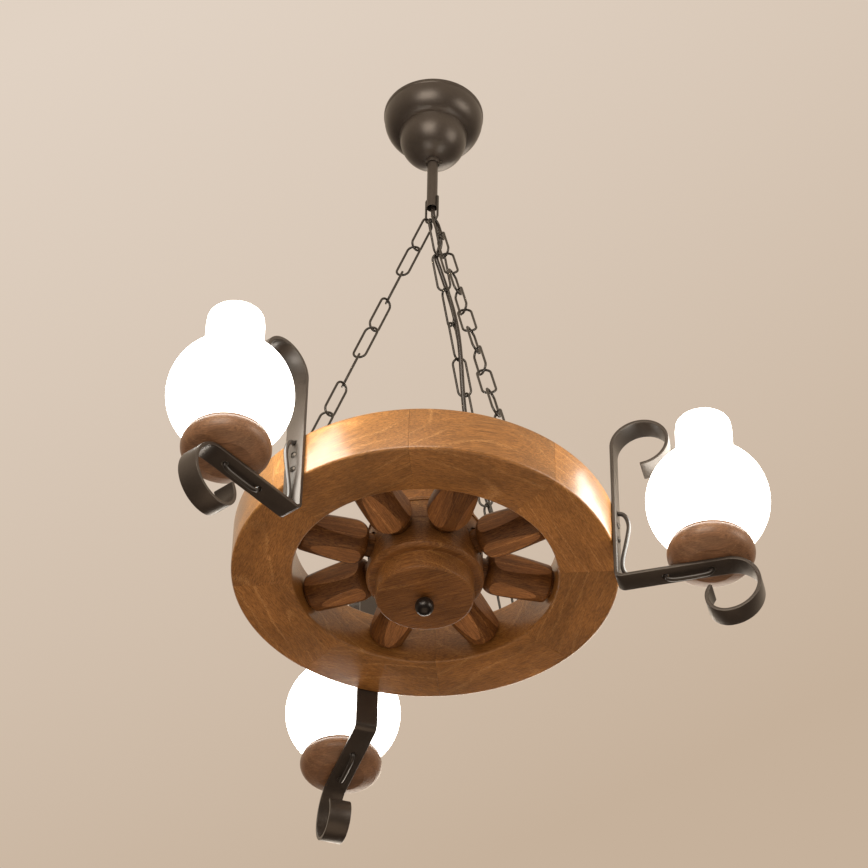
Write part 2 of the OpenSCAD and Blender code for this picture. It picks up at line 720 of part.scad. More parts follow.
module bracket_screws() color("#5a524b")
    for (k = [left, right, far], up = SCREW_UPS)
        at_lamp(k) translate([leg_out_r + seat_gap, 0, rim_z + up]) rotate([0, 90, 0]) {
            translate([0, 0, -screw_l]) rod(screw_d, screw_l + eps);
            difference() {
                rotate_extrude($fn = WIRE_FN) intersection() {
                    translate([0, -screw_head_h]) circle(2 * screw_head_h, $fn = 64);
                    square([screw_head_d / 2, screw_head_h]);
                }
                for (turn = [0, 90])
                    rotate(turn) translate([0, 0, screw_head_h]) cube([4.4, 0.9, 2.4], center = true);
            }
        }

// ---------- lamps ----------

// Outline of a turned cup, from its foot to the lip round the glass
module cup_profile() {
    foot_r = 27;
    side_r = 15;
    side_up = cup_h - cup_lip - 5;
    side_x = cup_d / 2 - side_r;
    lip_r = cup_d / 2 - 2.5;
    lip_w = 10;
    lip_edge_r = 1.4;
    difference() {
        union() {
            intersection() {
                translate([side_x, side_up]) circle(side_r);
                square([cup_d, cup_h - cup_lip]);
            }
            polygon([[0, 0], [foot_r, 0], [side_x + side_r * sin(33), side_up - side_r * cos(33)], [side_x, side_up + 5],
                [0, side_up + 5]]);
            translate([lip_r - lip_w, 0]) rounded_box_2d(lip_w, cup_h, lip_edge_r);
        }
        translate([0, cup_floor]) square([cup_bore / 2, cup_h]);
    }
}

module cup(k) color("#78553c")
    on_lamp_axis(k) translate([0, 0, arm_z]) difference() {
        rotate_extrude() cup_profile();
        translate([0, 0, -eps]) cylinder(d = nipple_d + 2 * glue_gap, h = cup_h, $fn = WIRE_FN);
    }

module cup_nipples() color("silver")
    for (k = [left, right, far])
        on_lamp_axis(k) translate([0, 0, arm_z - bar_t]) difference() {
            rod(nipple_d, bar_t + cup_floor + cup_nut_h + nipple_in);
            translate([0, 0, -eps]) rod(nipple_bore, bar_t + cup_floor + cup_nut_h + nipple_in + 2 * eps);
        }

module cup_nuts() color("silver")
    for (k = [left, right, far])
        on_lamp_axis(k) translate([0, 0, cup_seat_z]) hex_nut(cup_nut_across, cup_nut_h, nipple_d + 2 * glue_gap);

module lamp_holder(k) color("white")
    on_lamp_axis(k) translate([0, 0, holder_z]) difference() {
        union() {
            rotate_extrude() rounded_box_2d(holder_d / 2, holder_h, 1.5);
            cylinder(d = holder_d / 2, h = holder_h);
        }
        translate([0, 0, -eps]) cylinder(d = nipple_d + 2 * glue_gap, h = nipple_in + 1, $fn = WIRE_FN);
        translate([0, 0, holder_h - bulb_cap_l - 1]) cylinder(r = cap_d / 2 + run_gap, h = bulb_cap_l + 2);
    }

module bulb(k) color("white")
    on_lamp_axis(k) translate([0, 0, holder_z + holder_h]) rotate_extrude() difference() {
        ball_up = bulb_neck_l + sqrt(pow(bulb_d / 2, 2) - pow(cap_d / 2 + 4, 2)) - 4;
        union() {
            translate([0, -bulb_cap_l + seat_gap]) square([cap_d / 2, bulb_cap_l]);
            polygon([
                [0, seat_gap], [cap_d / 2 + 1.5, seat_gap], [cap_d / 2 + 6, bulb_neck_l],
                [cap_d / 2 + 6, bulb_neck_l + 4], [0, bulb_neck_l + 4]
            ]);
            translate([0, ball_up]) circle(d = bulb_d);
        }
        translate([-bulb_d, -bulb_d]) square([bulb_d, 4 * bulb_d]);
        translate([0, -bulb_cap_l - bulb_d]) square([bulb_d, bulb_d]);
    }

// Outline of the glass, drawn inwards by the given amount: globe, chimney and the collar in the cup
module glass_outline(inset, past) {
    neck_r = chimney_d / 2;
    fillet_y = sqrt(pow(globe_r + glass_fillet, 2) - pow(neck_r + glass_fillet, 2));
    fitter_top = -sqrt(pow(globe_r, 2) - pow(fitter_d / 2, 2));
    fitter_end = cup_floor + seat_gap - globe_up;
    intersection() {
        union() {
            difference() {
                circle(globe_r - inset);
                translate([-globe_d, fitter_top - globe_d]) square([2 * globe_d, globe_d]);
            }
            translate([0, fitter_end - past]) square([fitter_d / 2 - inset, fitter_top - fitter_end + past + 1]);
            square([neck_r - inset, chimney_up + past]);
            difference() {
                polygon([
                    [0, 0], [neck_r + glass_fillet, fillet_y] * globe_r / (globe_r + glass_fillet),
                    [neck_r + glass_fillet, fillet_y], [0, fillet_y]
                ]);
                translate([neck_r + glass_fillet, fillet_y]) circle(glass_fillet + inset);
            }
        }
        translate([0, -globe_d]) square([globe_d, 3 * globe_d]);
    }
}

module shade(k) color([1, 1, 0.97, 0.9])
    on_lamp_axis(k) translate([0, 0, globe_z]) rotate_extrude() {
        difference() {
            glass_outline(0, 0);
            glass_outline(glass_wall, 1);
        }
        translate([chimney_d / 2 - glass_wall / 2, chimney_up]) circle(d = glass_wall + mouth_bead, $fn = WIRE_FN);
    }

// ---------- nodes ----------

ceiling_strap();
stem_tube();
stem_nuts();
terminal_block();
stem_cable();
canopy();
canopy_collar();
collar_screw();
hanging_bail();
chain_left();
chain_far();
chain_near();
screw_eyes();
feed_cable();
for (n = [1:segments]) felloe(n);
for (n = [1:segments]) spoke(n);
hub();
hub_stud();
finial_ball();
rim_wiring();
rim_connector();
bracket_screws();
cup_nipples();
cup_nuts();
for (k = [left, right, far]) bracket(k);
for (k = [left, right, far]) lamp_wire(k);
for (k = [left, right, far]) cup(k);
for (k = [left, right, far]) lamp_holder(k);
for (k = [left, right, far]) bulb(k);
for (k = [left, right, far]) shade(k);
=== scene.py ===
"""Looks of a wagon wheel chandelier: stained wood, satin bronze iron and lit opal glass."""

import logging
import math
from dataclasses import dataclass, field
from enum import Enum

import bmesh
import bpy
import numpy as np
from mathutils import Matrix, Vector


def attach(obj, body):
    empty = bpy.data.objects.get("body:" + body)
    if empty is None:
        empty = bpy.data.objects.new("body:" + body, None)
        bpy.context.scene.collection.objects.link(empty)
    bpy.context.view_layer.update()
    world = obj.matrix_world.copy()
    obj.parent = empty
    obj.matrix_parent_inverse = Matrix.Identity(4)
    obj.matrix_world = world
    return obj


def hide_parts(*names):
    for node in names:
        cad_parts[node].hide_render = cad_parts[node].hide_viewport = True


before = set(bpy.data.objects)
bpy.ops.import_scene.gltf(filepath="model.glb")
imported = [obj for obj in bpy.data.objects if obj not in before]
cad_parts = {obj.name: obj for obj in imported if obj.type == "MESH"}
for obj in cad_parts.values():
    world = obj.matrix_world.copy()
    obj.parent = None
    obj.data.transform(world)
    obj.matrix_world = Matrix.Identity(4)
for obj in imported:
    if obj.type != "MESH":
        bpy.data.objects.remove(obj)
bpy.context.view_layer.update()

log = logging.getLogger("chandelier")

MM = 0.001
ORIGIN = Vector((0, 0, 0))
WAVE_SPACING = 0.314  # distance between the rings of a wave texture at scale 1
MULTIPLIED = {"data_type": "RGBA", "blend_type": "MULTIPLY"}

Point2 = tuple[float, float]
Point3 = tuple[float, float, float]
Colour = tuple[float, float, float, float]
Stops = list[tuple[float, float | Colour]]
Tree = bpy.types.NodeTree
Socket = bpy.types.NodeSocket


class Lamp(Enum):
    """The three lamps, with the direction in which each stands out from the wheel."""

    LEFT = ("left", -131.0)
    RIGHT = ("right", -16.0)
    FAR = ("far", 107.0)

    @property
    def label(self) -> str:
        """The lamp's name, as the CAD nodes use it."""
        return self.value[0]

    @property
    def turn(self) -> float:
        """Direction of the lamp in radians."""
        return math.radians(self.value[1])


# ---------------------------------------------------------------- shapes


def arc(cx: float, cy: float, radius: float, start: float, end: float, steps: int) -> list[Point2]:
    """Points along a circular arc.

    Args:
        cx, cy: Centre of the arc.
        radius: Its radius.
        start, end: First and last angle in degrees.
        steps: Number of straight pieces.

    Returns:
        The points, both ends included.
    """
    angles = (math.radians(start + (end - start) * i / steps) for i in range(steps + 1))
    return [(cx + radius * math.cos(a), cy + radius * math.sin(a)) for a in angles]


def rounded(corners: list[tuple[float, float, float]], steps: int = 5) -> list[Point2]:
    """Rounds the corners of an open outline.

    Args:
        corners: (x, y, radius) of each corner. Radius 0 leaves it sharp.
        steps: Straight pieces per rounded corner.

    Returns:
        The outline's points in order.
    """
    points: list[Point2] = []
    for i, (x, y, radius) in enumerate(corners):
        if radius == 0 or i in (0, len(corners) - 1):
            points.append((x, y))
            continue
        here = Vector((x, y))
        back = (Vector(corners[i - 1][:2]) - here).normalized()
        ahead = (Vector(corners[i + 1][:2]) - here).normalized()
        half = back.angle(ahead) / 2
        centre = here + (back + ahead).normalized() * (radius / math.sin(half))
        first = here + back * (radius / math.tan(half)) - centre
        last = here + ahead * (radius / math.tan(half)) - centre
        turn = first.angle_signed(last)
        for k in range(steps + 1):
            a = -turn * k / steps
            points.append((
                centre.x + first.x * math.cos(a) - first.y * math.sin(a),
                centre.y + first.x * math.sin(a) + first.y * math.cos(a),
            ))
    return points


def polar(radius: float, turn: float, z: float = 0.0) -> Vector:
    """A point at a radius and a direction in radians round the wheel's axis."""
    return Vector((radius * math.cos(turn), radius * math.sin(turn), z))


def finish_mesh(mesh: bpy.types.Mesh, sharp: float = 32.0) -> bpy.types.Mesh:
    """Smooths a mesh except along its sharp edges.

    Args:
        mesh: What is smoothed.
        sharp: Angle between two faces, in degrees, from which their edge stays sharp.

    Returns:
        The same mesh.
    """
    mesh.shade_smooth()
    mesh.set_sharp_from_angle(angle=math.radians(sharp))
    mesh.update()
    return mesh


def mesh_from(name: str, points: list[Vector], faces: list[tuple[int, ...]]) -> bpy.types.Mesh:
    """Makes a closed mesh with its normals outwards.

    Args:
        name: Name of the mesh.
        points: Corner points in millimetres.
        faces: Corner numbers of each face.

    Returns:
        The mesh, in metres.
    """
    mesh = bpy.data.meshes.new(name)
    mesh.from_pydata([p * MM for p in points], [], faces)
    bm = bmesh.new()
    bm.from_mesh(mesh)
    bmesh.ops.remove_doubles(bm, verts=bm.verts, dist=1e-7)
    bmesh.ops.recalc_face_normals(bm, faces=bm.faces)
    bm.to_mesh(mesh)
    bm.free()
    return finish_mesh(mesh)


def lathe(name: str, outline: list[Point2], steps: int = 128, axis: Vector = ORIGIN) -> bpy.types.Mesh:
    """Turns an outline round a vertical axis.

    Args:
        name: Name of the mesh.
        outline: (radius, height) points in millimetres, closed by themselves or by the axis.
        steps: Number of segments round the axis.
        axis: Foot of the axis, in millimetres.

    Returns:
        A closed mesh in metres.
    """
    points: list[Vector] = []
    rings: list[list[int]] = []
    for radius, height in outline:
        count = 1 if radius < 1e-6 else steps
        rings.append([len(points) + k % count for k in range(steps)])
        points += [axis + polar(radius, 2 * math.pi * k / steps, height) for k in range(count)]
    faces = []
    for low, high in zip(rings, rings[1:] + rings[:1]):
        for k in range(steps):
            n = (k + 1) % steps
            corners = [low[k], low[n], high[n], high[k]]
            corners = [c for i, c in enumerate(corners) if c != corners[i - 1]]
            if len(corners) > 2:
                faces.append(tuple(corners))
    return mesh_from(name, points, faces)


def sweep_faces(sections: int, sides: int) -> list[tuple[int, ...]]:
    """Faces of a closed sweep: one at each end, and a ring of them between each two cross-sections.

    Args:
        sections: Number of cross-sections.
        sides: Number of points on each of them.

    Returns:
        Corner numbers of each face.
    """
    end = (sections - 1) * sides
    faces: list[tuple[int, ...]] = [tuple(range(sides)), tuple(range(end, end + sides))]
    for i in range(sections - 1):
        for k in range(sides):
            n = (k + 1) % sides
            faces.append((i * sides + k, i * sides + n, (i + 1) * sides + n, (i + 1) * sides + k))
    return faces


def sweep(name: str, sections: list[list[Vector]]) -> bpy.types.Mesh:
    """Makes a closed mesh from one cross-section after another.

    Args:
        name: Name of the mesh.
        sections: Points of each cross-section in millimetres, as many on each.

    Returns:
        The mesh, in metres.
    """
    points = [point for section in sections for point in section]
    return mesh_from(name, points, sweep_faces(len(sections), len(sections[0])))


def tube(name: str, path: list[Vector], radius: float, sides: int = 16) -> bpy.types.Mesh:
    """Sweeps a round wire along a path without letting it twist.

    Args:
        name: Name of the mesh.
        path: Points of the wire's centre line in millimetres.
        radius: Radius of the wire.
        sides: Number of sides.

    Returns:
        A closed mesh in metres, a little thinner at both ends.
    """
    last = len(path) - 1
    headings = [(path[min(i + 1, last)] - path[max(i - 1, 0)]).normalized() for i in range(last + 1)]
    side = headings[0].orthogonal().normalized()
    sections: list[list[Vector]] = []
    for i, (centre, heading) in enumerate(zip(path, headings)):
        side = (side - heading * side.dot(heading)).normalized()
        up = heading.cross(side)
        r = radius * (0.8 if i in (0, last) else 1.0)
        turns = [2 * math.pi * k / sides for k in range(sides)]
        sections.append([centre + (side * math.cos(a) + up * math.sin(a)) * r for a in turns])
    return sweep(name, sections)


def soften(route: list[Vector], steps: int = 5) -> list[Vector]:
    """Runs a smooth curve through the points of a route.

    Args:
        route: The points it passes.
        steps: Pieces between two of them.

    Returns:
        The points of the finer route.
    """
    fine: list[Vector] = []
    last = len(route) - 1
    for i in range(last):
        a, b, c, d = (route[min(max(i + k, 0), last)] for k in (-1, 0, 1, 2))
        for k in range(steps):
            t = k / steps
            fine.append(0.5 * (
                2 * b + (c - a) * t + (2 * a - 5 * b + 4 * c - d) * t * t + (3 * b - a - 3 * c + d) * t ** 3
            ))
    return fine + [route[-1]]


def cut(mesh: bpy.types.Mesh, cutters: list[bpy.types.Mesh]) -> bpy.types.Mesh:
    """Cuts holes into a mesh.

    Args:
        mesh: What is cut.
        cutters: Closed meshes to take away.

    Returns:
        The cut mesh.
    """
    body = bpy.data.objects.new("cut_body", mesh)
    bpy.context.scene.collection.objects.link(body)
    tools = []
    for cutter in cutters:
        tool = bpy.data.objects.new("cut_tool", cutter)
        bpy.context.scene.collection.objects.link(tool)
        tools.append(tool)
        step = body.modifiers.new("hole", "BOOLEAN")
        step.operation = "DIFFERENCE"
        step.solver = "EXACT"
        step.object = tool
    graph = bpy.context.evaluated_depsgraph_get()
    result = bpy.data.meshes.new_from_object(body.evaluated_get(graph), depsgraph=graph)
    for part in [body, *tools]:
        bpy.data.objects.remove(part)
    return finish_mesh(result)


def set_grain(mesh: bpy.types.Mesh, origin: Vector, along: float, tilt: float = 0.0) -> None:
    """Stores where each point lies in the board that the piece was cut from, in millimetres.

    Args:
        mesh: The wooden piece.
        origin: Where the board's pith line passes, in millimetres.
        along: Direction of the fibres in degrees, seen from above.
        tilt: How far the fibres rise, in degrees.
    """
    turn = Matrix.Rotation(math.radians(tilt), 3, "Y") @ Matrix.Rotation(-math.radians(along), 3, "Z")
    layer = mesh.attributes.new("grain", "FLOAT_VECTOR", "POINT")
    values = [turn @ (v.co / MM - origin) for v in mesh.vertices]
    layer.data.foreach_set("vector", np.array(values, dtype=np.float32).ravel())


# ---------------------------------------------------------------- nodes and materials


def linear(code: str) -> Colour:
    """Turns an sRGB colour into a linear one.

    Args:
        code: The colour as a hex code.

    Returns:
        Linear red, green, blue and alpha.
    """
    values = (int(code[i:i + 2], 16) / 255 for i in (1, 3, 5))
    red, green, blue = (v / 12.92 if v <= 0.04045 else ((v + 0.055) / 1.055) ** 2.4 for v in values)
    return red, green, blue, 1.0


def add_node(
    tree: Tree, kind: str, settings: dict | None = None, inputs: dict | None = None,
    stops: Stops | None = None,
) -> bpy.types.Node:
    """Adds a node with its settings and its links.

    Args:
        tree: The tree it goes into.
        kind: Its Blender type.
        settings: Properties to set.
        inputs: Sockets by name or number, each with a socket to link from or a value.
        stops: Position of each stop of a colour ramp, with its grey level or its colour.

    Returns:
        The node.
    """
    node = tree.nodes.new(kind)
    for key, value in (settings or {}).items():
        setattr(node, key, value)
    for key, value in (inputs or {}).items():
        if isinstance(value, Socket):
            tree.links.new(value, node.inputs[key])
        else:
            node.inputs[key].default_value = value
    for i, (place, level) in enumerate(stops or []):
        stop = node.color_ramp.elements[i] if i < 2 else node.color_ramp.elements.new(place)
        stop.position = place
        stop.color = level if isinstance(level, tuple) else (level, level, level, 1.0)
    return node


@dataclass(frozen=True)
class Finish:
    """A finish with a name, a colour and a gloss. Each kind of finish adds its own pattern."""

    name: str
    colour: str
    roughness: float = 0.4

    def start(self) -> tuple[bpy.types.Material, Tree, bpy.types.Node]:
        """Makes the material with its plain colour and roughness.

        Returns:
            The material, its tree and its shader node.
        """
        material = bpy.data.materials.new(self.name)
        material.use_nodes = True
        material.diffuse_color = linear(self.colour)
        shader = material.node_tree.nodes["Principled BSDF"]
        shader.inputs["Base Color"].default_value = linear(self.colour)
        shader.inputs["Roughness"].default_value = self.roughness
        return material, material.node_tree, shader

    def patches(self, tree: Tree, vector: Socket, scale: Point3, detail: float = 2.0) -> bpy.types.Node:
        """Cloudy patches on coordinates that are stretched along each axis.

        Args:
            tree: The material's tree.
            vector: Coordinates.
            scale: How many patches one unit of the coordinates holds along x, y and z.
            detail: Finer layers on top.

        Returns:
            The noise node.
        """
        place = add_node(tree, "ShaderNodeVectorMath", {"operation": "MULTIPLY"}, {0: vector, 1: scale})
        return add_node(tree, "ShaderNodeTexNoise", None, {
            "Vector": place.outputs[0], "Scale": 1.0, "Detail": detail, "Roughness": 0.55,
        })

    def figure(self, tree: Tree, vector: Socket, scale: Point3, detail: float, stops: Stops) -> Socket:
        """Cloudy patches with their contrast set.

        Args:
            tree: The material's tree.
            vector: Coordinates.
            scale: How many patches one unit of the coordinates holds along x, y and z.
            detail: Finer layers on top.
            stops: (position, grey level) of each stop of the contrast ramp.

        Returns:
            The pattern.
        """
        value = self.patches(tree, vector, scale, detail).outputs["Fac"]
        return add_node(tree, "ShaderNodeValToRGB", None, {"Fac": value}, stops).outputs["Color"]

    def glaze(
        self, tree: Tree, below: Socket | Colour, above: Socket | Colour, pattern: Socket | float,
        share: float = 1.0,
    ) -> Socket:
        """Lays a colour over another where a pattern shows.

        Args:
            tree: The material's tree.
            below: The colour that is covered.
            above: The colour that covers it.
            pattern: Where it does.
            share: How much it covers where the pattern is 1.

        Returns:
            The mixed colour.
        """
        amount = add_node(tree, "ShaderNodeMath", {"operation": "MULTIPLY"}, {0: pattern, 1: share})
        return add_node(tree, "ShaderNodeMix", {"data_type": "RGBA"}, {
            0: amount.outputs[0], 6: below, 7: above,
        }).outputs[2]

    def paint(self, tree: Tree, shader: bpy.types.Node, colour: Socket | Colour, pattern: Socket) -> None:
        """Gives the surface its colour, dimmed by a pattern.

        Args:
            tree: The material's tree.
            shader: Its shader node.
            colour: The colour.
            pattern: How bright it is from place to place.
        """
        dimmed = add_node(tree, "ShaderNodeMix", MULTIPLIED, {0: 1.0, 6: colour, 7: pattern})
        tree.links.new(dimmed.outputs[2], shader.inputs["Base Color"])

    def relief(
        self, tree: Tree, shader: bpy.types.Node, pattern: Socket, depth_mm: float, sunk: bool = False,
    ) -> None:
        """Lets a pattern stand out of the surface, or lie sunk in it.

        Args:
            tree: The material's tree.
            shader: Its shader node.
            pattern: The pattern.
            depth_mm: Its height in millimetres.
            sunk: Whether it is sunk.
        """
        node = add_node(tree, "ShaderNodeBump", {"invert": sunk}, {
            "Height": pattern, "Distance": depth_mm * MM, "Strength": 1.0,
        })
        tree.links.new(node.outputs[0], shader.inputs["Normal"])


@dataclass(frozen=True)
class StainedWood(Finish):
    """Beech, sawn, turned and stained, under satin lacquer.

    The stain takes less in the hard line that ends each year's growth, so those lines are lighter, and the
    short ray flecks of beech show as light dashes.
    """

    dark: str = "#5E3A14"
    light: str = "#C8965A"
    ring_mm: float = 12.0
    coat: float = 0.55
    sheen: float = 0.5
    # a little of this colour goes into the painted reflection on the planed flats
    bare: str = "#A67C52"

    def rings(self, tree: Tree, grain: Socket) -> Socket:
        """Year rings round the board's pith line, as a saw tooth over each year.

        Args:
            tree: The material's tree.
            grain: Place in the board, in millimetres.

        Returns:
            The saw tooth, from 0 to 1.
        """
        # waves of 60 to 170 mm bend the rings, and a fray of 4 by 1 mm makes them jagged
        sway = self.patches(tree, grain, (0.006, 0.016, 0.016))
        fray = self.patches(tree, grain, (0.26, 1.1, 1.1), 4.0)
        place = grain
        for shift, reach in ((sway, 26.0), (fray, 6.0)):
            place = add_node(tree, "ShaderNodeVectorMath", {"operation": "MULTIPLY_ADD"}, {
                0: shift.outputs["Color"], 1: (0.0, reach, reach), 2: place,
            }).outputs[0]
        saw = {"wave_type": "RINGS", "rings_direction": "X", "wave_profile": "SAW"}
        return add_node(tree, "ShaderNodeTexWave", saw, {
            "Vector": place, "Scale": WAVE_SPACING / self.ring_mm, "Distortion": 0.0,
        }).outputs["Fac"]

    def stain(self, tree: Tree, grain: Socket, fibre: Socket, pore: Socket) -> Socket:
        """The stained wood's colour, as it is where the wood was turned or sanded.

        Args:
            tree: The material's tree.
            grain: Place in the board, in millimetres.
            fibre: Pattern of the fibres.
            pore: Pattern of the pores.

        Returns:
            The colour.
        """
        rings = self.rings(tree, grain)
        line, year, thread = (
            add_node(tree, "ShaderNodeValToRGB", None, {"Fac": value}, stops).outputs["Color"]
            for value, stops in (
                (rings, [(0.0, 0.0), (1.0, 0.15), (0.86, 0.0), (0.95, 1.0)]),
                (rings, [(0.0, 0.30), (1.0, 0.62)]),
                (fibre, [(0.30, 0.12), (0.68, 1.0)]),
            )
        )
        # the lines come and go over 100 by 20 mm, a ray fleck is 3 by 0.5 mm, and clouds are 80 by 33 mm
        patch = self.figure(tree, grain, (0.010, 0.05, 0.05), 1.0, [(0.42, 0.25), (0.58, 1.0)])
        fleck = self.figure(tree, grain, (0.36, 1.9, 0.9), 1.0, [(0.54, 0.0), (0.68, 1.0)])
        cloud = self.figure(tree, grain, (0.012, 0.03, 0.03), 2.0, [(0.32, 0.72), (0.66, 1.06)])
        lit_line = add_node(tree, "ShaderNodeMix", MULTIPLIED, {0: 1.0, 6: line, 7: patch}).outputs[2]
        dark, plain, light = linear(self.dark), linear(self.colour), linear(self.light)
        body = self.glaze(tree, dark, plain, thread)
        body = self.glaze(tree, body, plain, year, 0.30)
        body = self.glaze(tree, body, light, fleck, 0.14)
        body = self.glaze(tree, body, light, lit_line, 0.58)
        body = self.glaze(tree, body, dark, pore, 0.55)
        board = add_node(tree, "ShaderNodeAttribute", {"attribute_name": "tone"}).outputs["Fac"]
        level = add_node(tree, "ShaderNodeMath", {"operation": "ADD"}, {0: board, 1: 1.0}).outputs[0]
        for pattern in (cloud, level):
            body = add_node(tree, "ShaderNodeMix", MULTIPLIED, {0: 1.0, 6: body, 7: pattern}).outputs[2]
        return body

    def build(self) -> bpy.types.Material:
        """Builds the material from the attributes grain, tone and planed.

        Returns:
            The material.
        """
        material, tree, shader = self.start()
        grain = add_node(tree, "ShaderNodeAttribute", {"attribute_name": "grain"}).outputs["Vector"]
        # fibres of 38 by 1.1 mm and pores of 8 by 0.6 mm, drawn coarser than real ones so that they show
        fibre = self.patches(tree, grain, (0.026, 0.90, 0.90), 4.0).outputs["Fac"]
        pore = self.figure(tree, grain, (0.13, 1.7, 1.7), 1.0, [(0.54, 0.0), (0.66, 1.0)])
        body = self.stain(tree, grain, fibre, pore)
        # where the plane left a flat, the wood is duller, and its colour is painted about twice as pale and a
        # little bluer: a painted reflection of the pale room on the flats
        planed = add_node(tree, "ShaderNodeAttribute", {"attribute_name": "planed"}).outputs["Fac"]
        pale = add_node(tree, "ShaderNodeMix", MULTIPLIED, {0: 1.0, 6: body, 7: (1.9, 1.95, 2.1, 1.0)})
        flat = self.glaze(tree, pale.outputs[2], linear(self.bare), 1.0, 0.12)
        tree.links.new(self.glaze(tree, body, flat, planed), shader.inputs["Base Color"])
        rough = add_node(tree, "ShaderNodeMath", {"operation": "MULTIPLY_ADD"}, {
            0: fibre, 1: 0.16, 2: self.roughness - 0.08,
        })
        dull = add_node(tree, "ShaderNodeMath", {"operation": "MULTIPLY_ADD"}, {
            0: planed, 1: 0.12, 2: rough.outputs[0],
        })
        tree.links.new(dull.outputs[0], shader.inputs["Roughness"])
        shader.inputs["Specular IOR Level"].default_value = self.sheen
        shader.inputs["Coat Weight"].default_value = self.coat
        shader.inputs["Coat Roughness"].default_value = 0.22
        self.relief(tree, shader, pore, 0.04, sunk=True)
        return material


@dataclass(frozen=True)
class PowderCoat(Finish):
    """Mild steel, bent cold and powder coated: a satin brown-black skin with a fine orange peel."""

    peel_mm: float = 0.9
    dust: str = "#7A7064"

    def build(self) -> bpy.types.Material:
        """Builds the material on Object coordinates.

        Returns:
            The material.
        """
        material, tree, shader = self.start()
        place = add_node(tree, "ShaderNodeTexCoord").outputs["Object"]
        often = 1 / (self.peel_mm * MM)
        peel = self.patches(tree, place, (often, often, often), 1.0).outputs["Fac"]
        # clouds of 36 mm where the coat lies thinner
        cloud = self.patches(tree, place, (28.0, 28.0, 28.0), 3.0).outputs["Fac"]
        speck, worn = (
            add_node(tree, "ShaderNodeValToRGB", None, {"Fac": value}, stops).outputs["Color"]
            for value, stops in ((peel, [(0.56, 0.0), (0.74, 1.0)]), (cloud, [(0.30, 0.84), (0.72, 1.0)]))
        )
        self.paint(tree, shader, self.glaze(tree, linear(self.colour), linear(self.dust), speck, 0.20), worn)
        rough = add_node(tree, "ShaderNodeMath", {"operation": "MULTIPLY_ADD"}, {
            0: cloud, 1: 0.20, 2: self.roughness - 0.10,
        })
        tree.links.new(rough.outputs[0], shader.inputs["Roughness"])
        shader.inputs["Metallic"].default_value = 0.35
        shader.inputs["Coat Weight"].default_value = 0.15
        shader.inputs["Coat Roughness"].default_value = 0.35
        self.relief(tree, shader, peel, 0.06)
        return material


@dataclass(frozen=True)
class Sheath(Finish):
    """Flexible PVC, extruded: smooth, with faint lengthways waves and a satin shine."""

    def build(self) -> bpy.types.Material:
        """Builds the material on Object coordinates.

        Returns:
            The material.
        """
        material, tree, shader = self.start()
        place = add_node(tree, "ShaderNodeTexCoord").outputs["Object"]
        # waves of 4 by 11 mm
        wave = self.patches(tree, place, (260.0, 260.0, 90.0)).outputs["Fac"]
        tone = add_node(tree, "ShaderNodeValToRGB", None, {"Fac": wave}, [(0.30, 0.80), (0.70, 1.0)])
        self.paint(tree, shader, linear(self.colour), tone.outputs["Color"])
        shader.inputs["Coat Weight"].default_value = 0.3
        shader.inputs["Coat Roughness"].default_value = 0.2
        self.relief(tree, shader, wave, 0.12)
        return material


@dataclass(frozen=True)
class OpalGlass(Finish):
    """Mouth-blown opal glass, lit from inside: white all over, a little stronger beside the bulb."""

    lamp_height: float = -0.70
    glow: float = 9.0
    tint: str = "#FFFCF4"

    def build(self) -> bpy.types.Material:
        """Builds the material. The glow fades with the distance from the bulb's height.

        Returns:
            The material.
        """
        material, tree, shader = self.start()
        place = add_node(tree, "ShaderNodeTexCoord").outputs["Object"]
        height = add_node(tree, "ShaderNodeSeparateXYZ", inputs={0: place}).outputs["Z"]
        off = add_node(tree, "ShaderNodeMath", {"operation": "SUBTRACT"}, {0: height, 1: self.lamp_height})
        away = add_node(tree, "ShaderNodeMath", {"operation": "ABSOLUTE"}, {0: off.outputs[0]})
        fade = add_node(tree, "ShaderNodeMapRange", None, {
            "Value": away.outputs[0], "From Max": 0.12, "To Min": 1.0, "To Max": 0.62,
        })
        # the opal lies thicker in clouds of 33 by 17 mm
        even = self.figure(tree, place, (30.0, 30.0, 60.0), 2.0, [(0.3, 0.94), (0.7, 1.0)])
        light = linear(self.tint)
        for pattern in (fade.outputs[0], even):
            light = add_node(tree, "ShaderNodeMix", MULTIPLIED, {0: 1.0, 6: light, 7: pattern}).outputs[2]
        tree.links.new(light, shader.inputs["Emission Color"])
        shader.inputs["Emission Strength"].default_value = self.glow
        shader.inputs["IOR"].default_value = 1.5
        shader.inputs["Coat Weight"].default_value = 0.4
        shader.inputs["Coat Roughness"].default_value = 0.04
        return material


@dataclass(frozen=True)
class PlatedSteel(Finish):
    """Steel under bright zinc: turned or stamped, with fine scratches and clouded patches."""

    def build(self) -> bpy.types.Material:
        """Builds the material on Object coordinates.

        Returns:
            The material.
        """
        material, tree, shader = self.start()
        place = add_node(tree, "ShaderNodeTexCoord").outputs["Object"]
        # scratches of 0.7 by 8 mm, and clouds of 11 mm
        lines = self.patches(tree, place, (1400.0, 1400.0, 120.0)).outputs["Fac"]
        cloud = self.figure(tree, place, (90.0, 90.0, 90.0), 3.0, [(0.30, 0.72), (0.70, 1.0)])
        self.paint(tree, shader, linear(self.colour), cloud)
        rough = add_node(tree, "ShaderNodeMath", {"operation": "MULTIPLY_ADD"}, {
            0: lines, 1: 0.25, 2: self.roughness - 0.12,
        })
        tree.links.new(rough.outputs[0], shader.inputs["Roughness"])
        shader.inputs["Metallic"].default_value = 1.0
        self.relief(tree, shader, lines, 0.01)
        return material


